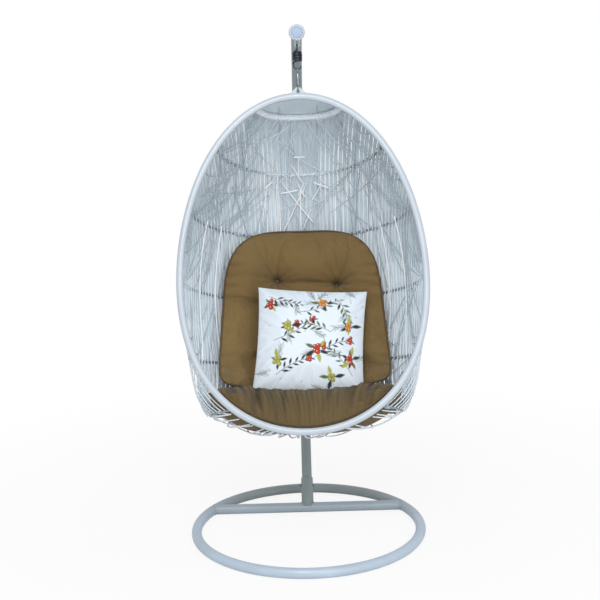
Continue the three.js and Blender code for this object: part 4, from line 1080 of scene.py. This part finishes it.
def tuft_buttons(cushion):
    """A cloth-covered button in each tuft, on the cushion's front."""
    shape = coordinates(cushion.data)
    behind = np.where(in_front(cushion), 0, 10)
    forms = []
    for tx, tz in TUFTS:
        guess = BASKET @ Vector((tx, min(BACK["depth"], float(wall_depth(tx, tz))) - 0.05, tz))
        away = np.linalg.norm(shape - np.array(guess), axis=1) + behind
        spot = Vector(shape[np.argmin(away)])
        forms.append(turned(BUTTON, 20, pointing(spot, BASKET.to_3x3() @ Vector((0, -1, 0)))))
    return forms


def build_back_cushion():
    cushion, border = pad("back_cushion_canvas", on_disc(back_cushion_place), 112, (0.70, 0.68), KHAKI, BASKET)
    inverse = BASKET.inverted()
    local = coordinates(cushion.data) @ np.array(inverse.to_3x3()).T + np.array(inverse.translation)
    held = set(border.tolist())
    front = in_front(cushion)
    for tx, tz in TUFTS:
        near = np.hypot(local[:, 0] - tx, local[:, 2] - tz)
        held |= set(np.flatnonzero((near < 0.010) & front).tolist())
    inflate(cushion, sorted(held), 0.026)
    back_creases(cushion, local)
    seam_tube("back_cushion_piping", cushion, border, 0.0042)
    subdivide(cushion)
    stand_for(cushion, "back_cushion")
    buttons = tuft_buttons(cushion)
    piece("back_cushion_buttons", buttons, KHAKI, "basket", matrix=UNMOVED, sharp=80)


# ---- the seat, in the chair's frame ----
SEAT = dict(centre_y=-0.095, centre_z=0.538, crown=0.024, depth=0.150, back=0.100, bow=1.3, back_z=0.563)
SEAT_SLOPE, SEAT_SIDE, SEAT_FLOOR, SEAT_REACH = 0.27, 0.90, 0.965, 0.7
RIDGE, RIDGE_Y, RIDGE_FRONT, RIDGE_BEHIND = 0.084, -0.222, 0.135, 0.062
SEAT_CORNER, RIM_SHARE, SEAT_GAP = math.radians(50), 0.965, 0.006


def bowl_share(x, y, z):
    """How full the bowl is at a point: below 1 inside its wall."""
    y, z = y - RIM_MIDDLE[1], z - RIM_MIDDLE[2]
    deep = y * math.cos(TILT) - z * math.sin(TILT)
    rough = (y * math.sin(TILT) + z * math.cos(TILT)) / RIM_HALF_HEIGHT
    side, bottom = bowl_swell(rough, deep)
    height = rough / bottom
    across = x / (rim_half_width(height) * side)
    return across**2 + height**2 + (np.maximum(deep, 0) / BOWL_DEPTH) ** (2 / BOWL_FILL)


def reach_in_bowl(route, limit, shape):
    """The furthest share of a route, 0 to 1, at which the bowl is still less full than the limit."""
    near, far = np.zeros(shape), np.ones(shape)
    for _ in range(22):
        middle = (near + far) / 2
        free = bowl_share(*route(middle)) < limit
        near, far = np.where(free, middle, near), np.where(free, far, middle)
    return near


def beside_rim(angle):
    """A point just behind the rim's plane, a little inside the rim."""
    height = np.sin(angle)
    high, deep = RIM_HALF_HEIGHT * height * RIM_SHARE, RIM_TUBE + SEAT_GAP
    y = deep * math.cos(TILT) + high * math.sin(TILT) + RIM_MIDDLE[1]
    z = high * math.cos(TILT) - deep * math.sin(TILT) + RIM_MIDDLE[2]
    return np.stack([rim_half_width(height) * np.cos(angle) * RIM_SHARE, y, z], -1)


def seat_seam(turn):
    """The seat's seam at turns of -pi to pi: along the rim in front, then along the wall and the cushion."""
    c = SEAT
    ahead = (np.minimum(turn, 0) + math.pi) / math.pi
    front = beside_rim(math.pi + SEAT_CORNER + (math.pi - 2 * SEAT_CORNER) * ahead)
    corner = beside_rim(np.array(-SEAT_CORNER))[1]

    def route(t):
        y = corner + SEAT_REACH * t * np.sin(turn)
        return SEAT_REACH * t * np.cos(turn), y, c["back_z"] + SEAT_SLOPE * (c["back"] - y)

    behind = np.stack(route(reach_in_bowl(route, SEAT_SIDE, turn.shape)), -1)
    behind[..., 1] = np.minimum(behind[..., 1], c["back"] - c["bow"] * behind[..., 0] ** 2)
    behind[..., 2] = c["back_z"] + SEAT_SLOPE * (c["back"] - behind[..., 1])
    return np.where((turn < 0)[..., None], front, behind)


def seat_place(share, angle, side):
    """The seat pad fills the bottom of the bowl, and its top rises to a ridge across the front."""
    c = SEAT
    seam = seat_seam(angle)
    x = seam[..., 0] * share
    y = c["centre_y"] + (seam[..., 1] - c["centre_y"]) * share
    level = c["centre_z"] + (seam[..., 2] - c["centre_z"]) * share**3
    if side < 0:
        limit = SEAT_FLOOR + (SEAT_SIDE - SEAT_FLOOR) * share**4
        drop = c["depth"] * reach_in_bowl(lambda t: (x, y, level - c["depth"] * t), limit, share.shape)
        return np.stack([x, y, level - drop], -1)
    crown = 0.85 * c["crown"] * np.maximum(0, 1 - share**3) ** 0.6
    spread = np.where(y < RIDGE_Y, RIDGE_FRONT, RIDGE_BEHIND)
    ridge = RIDGE * np.exp(-(((y - RIDGE_Y) / spread) ** 2)) * (1 - share**4)
    return np.stack([x, y, level + crown + ridge], -1)


def seat_gathers(thing):
    """Wrinkles that run forward from the seat's ridge and fade towards its front, with painted shade in their
    valleys.
    """
    points = coordinates(thing.data)
    x, y = points[:, 0], points[:, 1] - AXIS_Y
    fade = np.where(in_front(thing), np.clip((y + 0.42) / 0.20, 0, 1) ** 1.2, 0)
    fan = x / (1.0 + 0.9 * (y - 0.1))
    drop, crease_shade = 0, 0
    rng = np.random.default_rng(5)
    for frequency, amount in ((48, 0.0075), (85, 0.0082), (140, 0.0078), (220, 0.0056)):
        sway = 0.9 * np.sin(9 * y + rng.uniform(0, 6)) + 0.5 * np.sin(23 * y + 7 * x + rng.uniform(0, 6))
        valley = (1 - np.abs(np.sin(0.5 * frequency * fan + sway + rng.uniform(0, 6)))) ** 1.4
        valley = valley * (0.55 + 0.45 * np.sin(13 * x + 11 * y + rng.uniform(0, 6)))
        drop = drop + amount * valley
        crease_shade = crease_shade + 0.8 * valley
    points[:, 2] -= drop * fade
    # painted shade in the wrinkles' valleys
    save_layer(thing.data, "crease_shade", np.clip(crease_shade * fade, 0, 1))
    set_coordinates(thing.data, points)


def build_seat():
    seat, border = pad("seat_cushion_canvas", on_disc(seat_place), 104, (0.66, 0.52), SHADED_SEAT_KHAKI, CHAIR)
    inflate(seat, border, 0.024)
    seat_gathers(seat)
    seam_tube("seat_cushion_piping", seat, border, 0.0040)
    subdivide(seat)
    stand_for(seat, "seat_cushion")


# ---- the pillow and its print ----
PILLOW = dict(size=0.438, thickness=0.105, centre=(0.025, 0.0, 0.791), lean=32, turn=4, pull=0.04, crown=0.42)
COTTON_WHITE = (229, 239, 249)
GREEN_BLACK = (38, 46, 40)
LEAF_GREEN = (92, 112, 74)
YELLOW_GREEN = (176, 178, 74)
BERRY_RED = (196, 60, 40)
BERRY_ORANGE = (226, 140, 52)
BERRY_LIGHT = (250, 232, 214)
GREY_STEM = (120, 122, 116)
STEM_WIDTH, TWIG_WIDTH, NEEDLE_WIDTH, SPRIG_LEAF = 0.0024, 0.0018, 0.0011, 0.036


def pillow_place(u, v, side):
    c = PILLOW
    x = c["size"] / 2 * u * (1 - c["pull"] * (1 - v * v))
    z = c["size"] / 2 * v * (1 - c["pull"] * (1 - u * u))
    full = np.maximum(0, (1 - u * u) * (1 - v * v)) ** c["crown"]
    return np.stack([x, -side * 0.44 * c["thickness"] * full, z], -1)


def heading(angle):
    return np.array([math.cos(angle), math.sin(angle)])


class Painter:
    """Paints soft-edged shapes on the colours of points that lie on a flat cloth, in metres."""

    def __init__(self, spots):
        self.spots = spots
        self.colours = np.tile(np.array(linear(COTTON_WHITE)[:3]), (len(spots), 1))

    def cover(self, amount, colour):
        ink = np.array(linear(colour)[:3])
        self.colours = self.colours * (1 - amount[:, None]) + ink * amount[:, None]

    def leaf(self, centre, angle, length, width, colour, strength=1.0):
        away = self.spots - np.array(centre)
        c, s = math.cos(angle), math.sin(angle)
        along = (away[:, 0] * c + away[:, 1] * s) / (length / 2)
        across = (-away[:, 0] * s + away[:, 1] * c) / (width / 2)
        inside = 1 - np.abs(along) ** 1.6 - np.abs(across)
        self.cover(strength * np.clip(inside * 2.2, 0, 1), colour)

    def disc(self, centre, radius, colour, strength=1.0, soft=0.0007):
        away = np.linalg.norm(self.spots - np.array(centre), axis=1)
        self.cover(strength * np.clip((radius - away) / soft, 0, 1), colour)

    def line(self, points, width, colour, strength=1.0):
        nearest = np.full(len(self.spots), 1.0)
        for a, b in zip(points, points[1:]):
            t = np.clip((self.spots - a) @ (b - a) / max(1e-12, (b - a) @ (b - a)), 0, 1)
            nearest = np.minimum(nearest, np.linalg.norm(self.spots - a - t[:, None] * (b - a), axis=1))
        self.cover(strength * np.clip((width / 2 - nearest) / 0.0006 + 0.5, 0, 1), colour)


def sprig(painter, rng, start, angle, length, colour, bend):
    """A curved stem with pairs of leaves. Gives the stem's tip."""
    points, turn = [np.array(start)], angle
    steps = 12
    for _ in range(steps):
        turn += bend / steps
        points.append(points[-1] + length / steps * heading(turn))
    painter.line(points, STEM_WIDTH, GREY_STEM)
    for i in range(2, steps + 1):
        side = 1 if i % 2 else -1
        size = SPRIG_LEAF * (1.1 - 0.45 * i / steps) * rng.uniform(0.85, 1.15)
        direction = angle + bend * i / steps + side * rng.uniform(0.6, 0.95)
        middle = points[i] + 0.5 * size * heading(direction)
        painter.leaf(middle, direction, size, size * 0.34, colour if rng.random() < 0.75 else GREEN_BLACK)
    return points[-1]


def needles(painter, rng, start, angle, length):
    """A twig with fine needles that fan out on both sides."""
    start, ahead = np.array(start), heading(angle)
    painter.line([start, start + ahead * length], TWIG_WIDTH, GREY_STEM)
    for i in range(11):
        root = start + ahead * length * (0.15 + 0.085 * i)
        for side in (-1, 1):
            turn = angle + side * rng.uniform(0.45, 0.8)
            tip = root + rng.uniform(0.014, 0.024) * heading(turn)
            colour = GREEN_BLACK if rng.random() < 0.6 else LEAF_GREEN
            painter.line([root, tip], NEEDLE_WIDTH, colour, 0.85)


def berries(painter, rng, centre, count, radius, colour):
    """A loose bunch of round berries, each with a shaded rim and a light spot."""
    for k in range(count):
        turn = 2 * math.pi * k / count + rng.uniform(-0.3, 0.3)
        away = radius * (1.15 if k else 0) * rng.uniform(0.95, 1.25)
        spot = np.array(centre) + away * heading(turn)
        painter.disc(spot, radius, tuple(int(c * 0.72) for c in colour))
        painter.disc(spot + np.array([-0.0003, 0.0004]), radius * 0.82, colour, 0.95, 0.002)
        painter.disc(spot + np.array([-0.35, 0.35]) * radius, radius * 0.24, BERRY_LIGHT, 0.9)


def paint_print(pillow):
    mesh = pillow.data
    flat = np.zeros((len(mesh.vertices), 2))
    flat[read(mesh.loops, "vertex_index", kind=int)] = read(mesh.uv_layers["cloth"].data, "uv", 2).reshape(-1, 2)
    painter = Painter(flat)
    rng = random.Random(12)
    half = PILLOW["size"] / 2
    long_sprigs = [
        (-0.15, -0.02, 0.25, 0.16, 0.5), (0.02, -0.09, 0.9, 0.15, -0.7), (-0.05, 0.10, 0.1, 0.15, 0.6),
        (0.08, 0.02, 2.6, 0.12, 0.6), (-0.13, -0.16, 0.7, 0.13, -0.4), (0.10, 0.17, -0.9, 0.12, -0.5),
        (0.17, -0.15, 2.1, 0.14, 0.5), (-0.17, 0.17, -0.5, 0.11, 0.5),
    ]
    for x, y, angle, length, bend in long_sprigs:
        colour = LEAF_GREEN if rng.random() < 0.4 else GREEN_BLACK
        tip = sprig(painter, rng, (x, y), angle, length * 1.15, colour, bend)
        if rng.random() < 0.7:
            berries(painter, rng, tip, 4, 0.0078, BERRY_RED)
    bunches = [
        (-0.165, 0.135, BERRY_RED), (0.045, 0.150, BERRY_ORANGE), (0.155, 0.050, BERRY_ORANGE),
        (0.030, -0.055, BERRY_RED), (-0.125, -0.105, YELLOW_GREEN), (0.165, -0.085, BERRY_RED),
        (-0.090, 0.040, YELLOW_GREEN), (0.090, -0.165, YELLOW_GREEN),
    ]
    for x, y, colour in bunches:
        needles(painter, rng, (x, y), rng.uniform(0, 6.28), 0.062)
        leaves = rng.randrange(4, 7)
        for k in range(leaves):
            turn = 2 * math.pi * k / leaves + rng.uniform(-0.5, 0.5)
            size = rng.uniform(0.030, 0.056)
            spot = np.array((x, y)) + 0.6 * size * heading(turn)
            painter.leaf(spot, turn, size, size * 0.38, (GREEN_BLACK, YELLOW_GREEN, LEAF_GREEN)[k % 3])
        berries(painter, rng, (x, y), rng.randrange(4, 7), rng.uniform(0.0075, 0.0105), colour)
    for _ in range(9):
        spot = (rng.uniform(-half, half), rng.uniform(-half, half))
        needles(painter, rng, spot, rng.uniform(0, 6.28), 0.05)
    for _ in range(26):
        spot = (rng.uniform(-half, half), rng.uniform(-half, half))
        painter.leaf(spot, rng.uniform(0, 3.14), rng.uniform(0.010, 0.018), 0.004, LEAF_GREEN, 0.7)
    colours = np.ones((len(flat), 4))
    colours[:, :3] = painter.colours
    layer = mesh.color_attributes.new(name="print", type="FLOAT_COLOR", domain="POINT")
    layer.data.foreach_set("color", colours.ravel())


def build_pillow():
    c = PILLOW
    lean = Matrix.Rotation(-math.radians(c["lean"]), 4, "X")
    at = CHAIR @ Matrix.Translation(c["centre"]) @ lean @ Matrix.Rotation(math.radians(c["turn"]), 4, "Y")
    pillow, border = pad("throw_pillow_cotton", pillow_place, 84, (c["size"], c["size"]), PRINT, at)
    inflate(pillow, border, 0.016, 3.0, 0.015)
    subdivide(pillow, 2)
    paint_print(pillow)
    stand_for(pillow, "throw_pillow")


# ---- the room, the light and the camera ----
WORLD_LIGHT, FLOOR_REACH = 0.63, 60


def build_floor():
    """A pale floor that the camera sees as nearly white, and as white further away."""
    floor = Nodes("pale_floor")
    floor.finish(Base_Color=floor.mottle(0.84, 0.87, 1.5, 3.0), Roughness=0.9)
    seen = floor.add("ShaderNodeLightPath").outputs["Is Camera Ray"]
    away = floor.add("ShaderNodeVectorMath", {0: floor.place}, operation="LENGTH").outputs["Value"]
    ranges = {"Value": away, "From Min": 0.7, "From Max": 2.4, "To Min": 0.87, "To Max": 1.0}
    white = floor.add("ShaderNodeMapRange", ranges)
    glow = floor.add("ShaderNodeEmission", {"Color": (1, 1, 1, 1), "Strength": 1.0}).outputs[0]
    share = floor.math("MULTIPLY", seen, white.outputs["Result"])
    lit = floor.add("ShaderNodeMixShader", {0: share, 1: floor.shader.outputs[0], 2: glow})
    floor.put(floor.tree.nodes["Material Output"].inputs["Surface"], lit.outputs[0])
    mesh = bpy.data.meshes.new("floor")
    corners = [(x * FLOOR_REACH, y * FLOOR_REACH, 0) for x, y in ((-1, -1), (1, -1), (1, 1), (-1, 1))]
    mesh.from_pydata(corners, [], [(0, 1, 2, 3)])
    mesh.materials.append(floor.material)
    ground = new_object("floor", mesh)
    ground.location.z = -0.0002


def build_world():
    """Soft white light from all round, which the camera sees as white."""
    world = bpy.data.worlds.new("studio")
    bpy.context.scene.world = world
    world.use_nodes = True
    tree = world.node_tree
    background = tree.nodes["Background"]
    rays = tree.nodes.new("ShaderNodeLightPath")
    strength = tree.nodes.new("ShaderNodeMapRange")
    tree.links.new(rays.outputs["Is Camera Ray"], strength.inputs["Value"])
    strength.inputs["To Min"].default_value = WORLD_LIGHT
    strength.inputs["To Max"].default_value = 1.0
    background.inputs["Color"].default_value = (1, 1, 1, 1)
    tree.links.new(strength.outputs[0], background.inputs["Strength"])


def lamp(name, at, aim, size, power):
    light = bpy.data.lights.new(name, "AREA")
    light.shape = "DISK"
    light.size = size
    light.energy = power
    thing = new_object(name, light)
    thing.location = at
    thing.rotation_euler = (Vector(aim) - Vector(at)).to_track_quat("-Z", "Y").to_euler()


def build_camera():
    """The photograph's viewpoint: in front, a little to the left, tipped down and rolled slightly."""
    aside, distance, height = -0.0359, 4.4, 1.784
    pitch, yaw, roll = math.radians(10.668), math.radians(0.3075), math.radians(-1.4228)
    forward = Vector((math.sin(yaw) * math.cos(pitch), math.cos(yaw) * math.cos(pitch), -math.sin(pitch)))
    level = forward.cross(Vector((0, 0, 1))).normalized()
    right = level * math.cos(roll) + level.cross(forward) * math.sin(roll)
    camera = bpy.data.cameras.new("camera")
    camera.lens, camera.sensor_width = 68.84, 36
    thing = new_object("camera", camera)
    turn = Matrix((right, right.cross(forward), -forward)).transposed().to_4x4()
    thing.matrix_world = Matrix.Translation((aside, AXIS_Y - distance, height)) @ turn
    bpy.context.scene.camera = thing


build_camera()
build_floor()
build_world()
lamp("key", at=(-0.3, -3.1, 3.3), aim=(0, -0.2, 0.9), size=1.8, power=62)
lamp("fill", at=(1.6, -3.4, 1.6), aim=(0, 0, 1.1), size=2.6, power=30)
build_base()
build_socket()
build_post()
build_cap()
build_eye()
build_hanger()
build_rods()
build_bracket()
build_weave()
build_back_cushion()
build_seat()
build_pillow()
bpy.context.scene.view_settings.view_transform = "Standard"
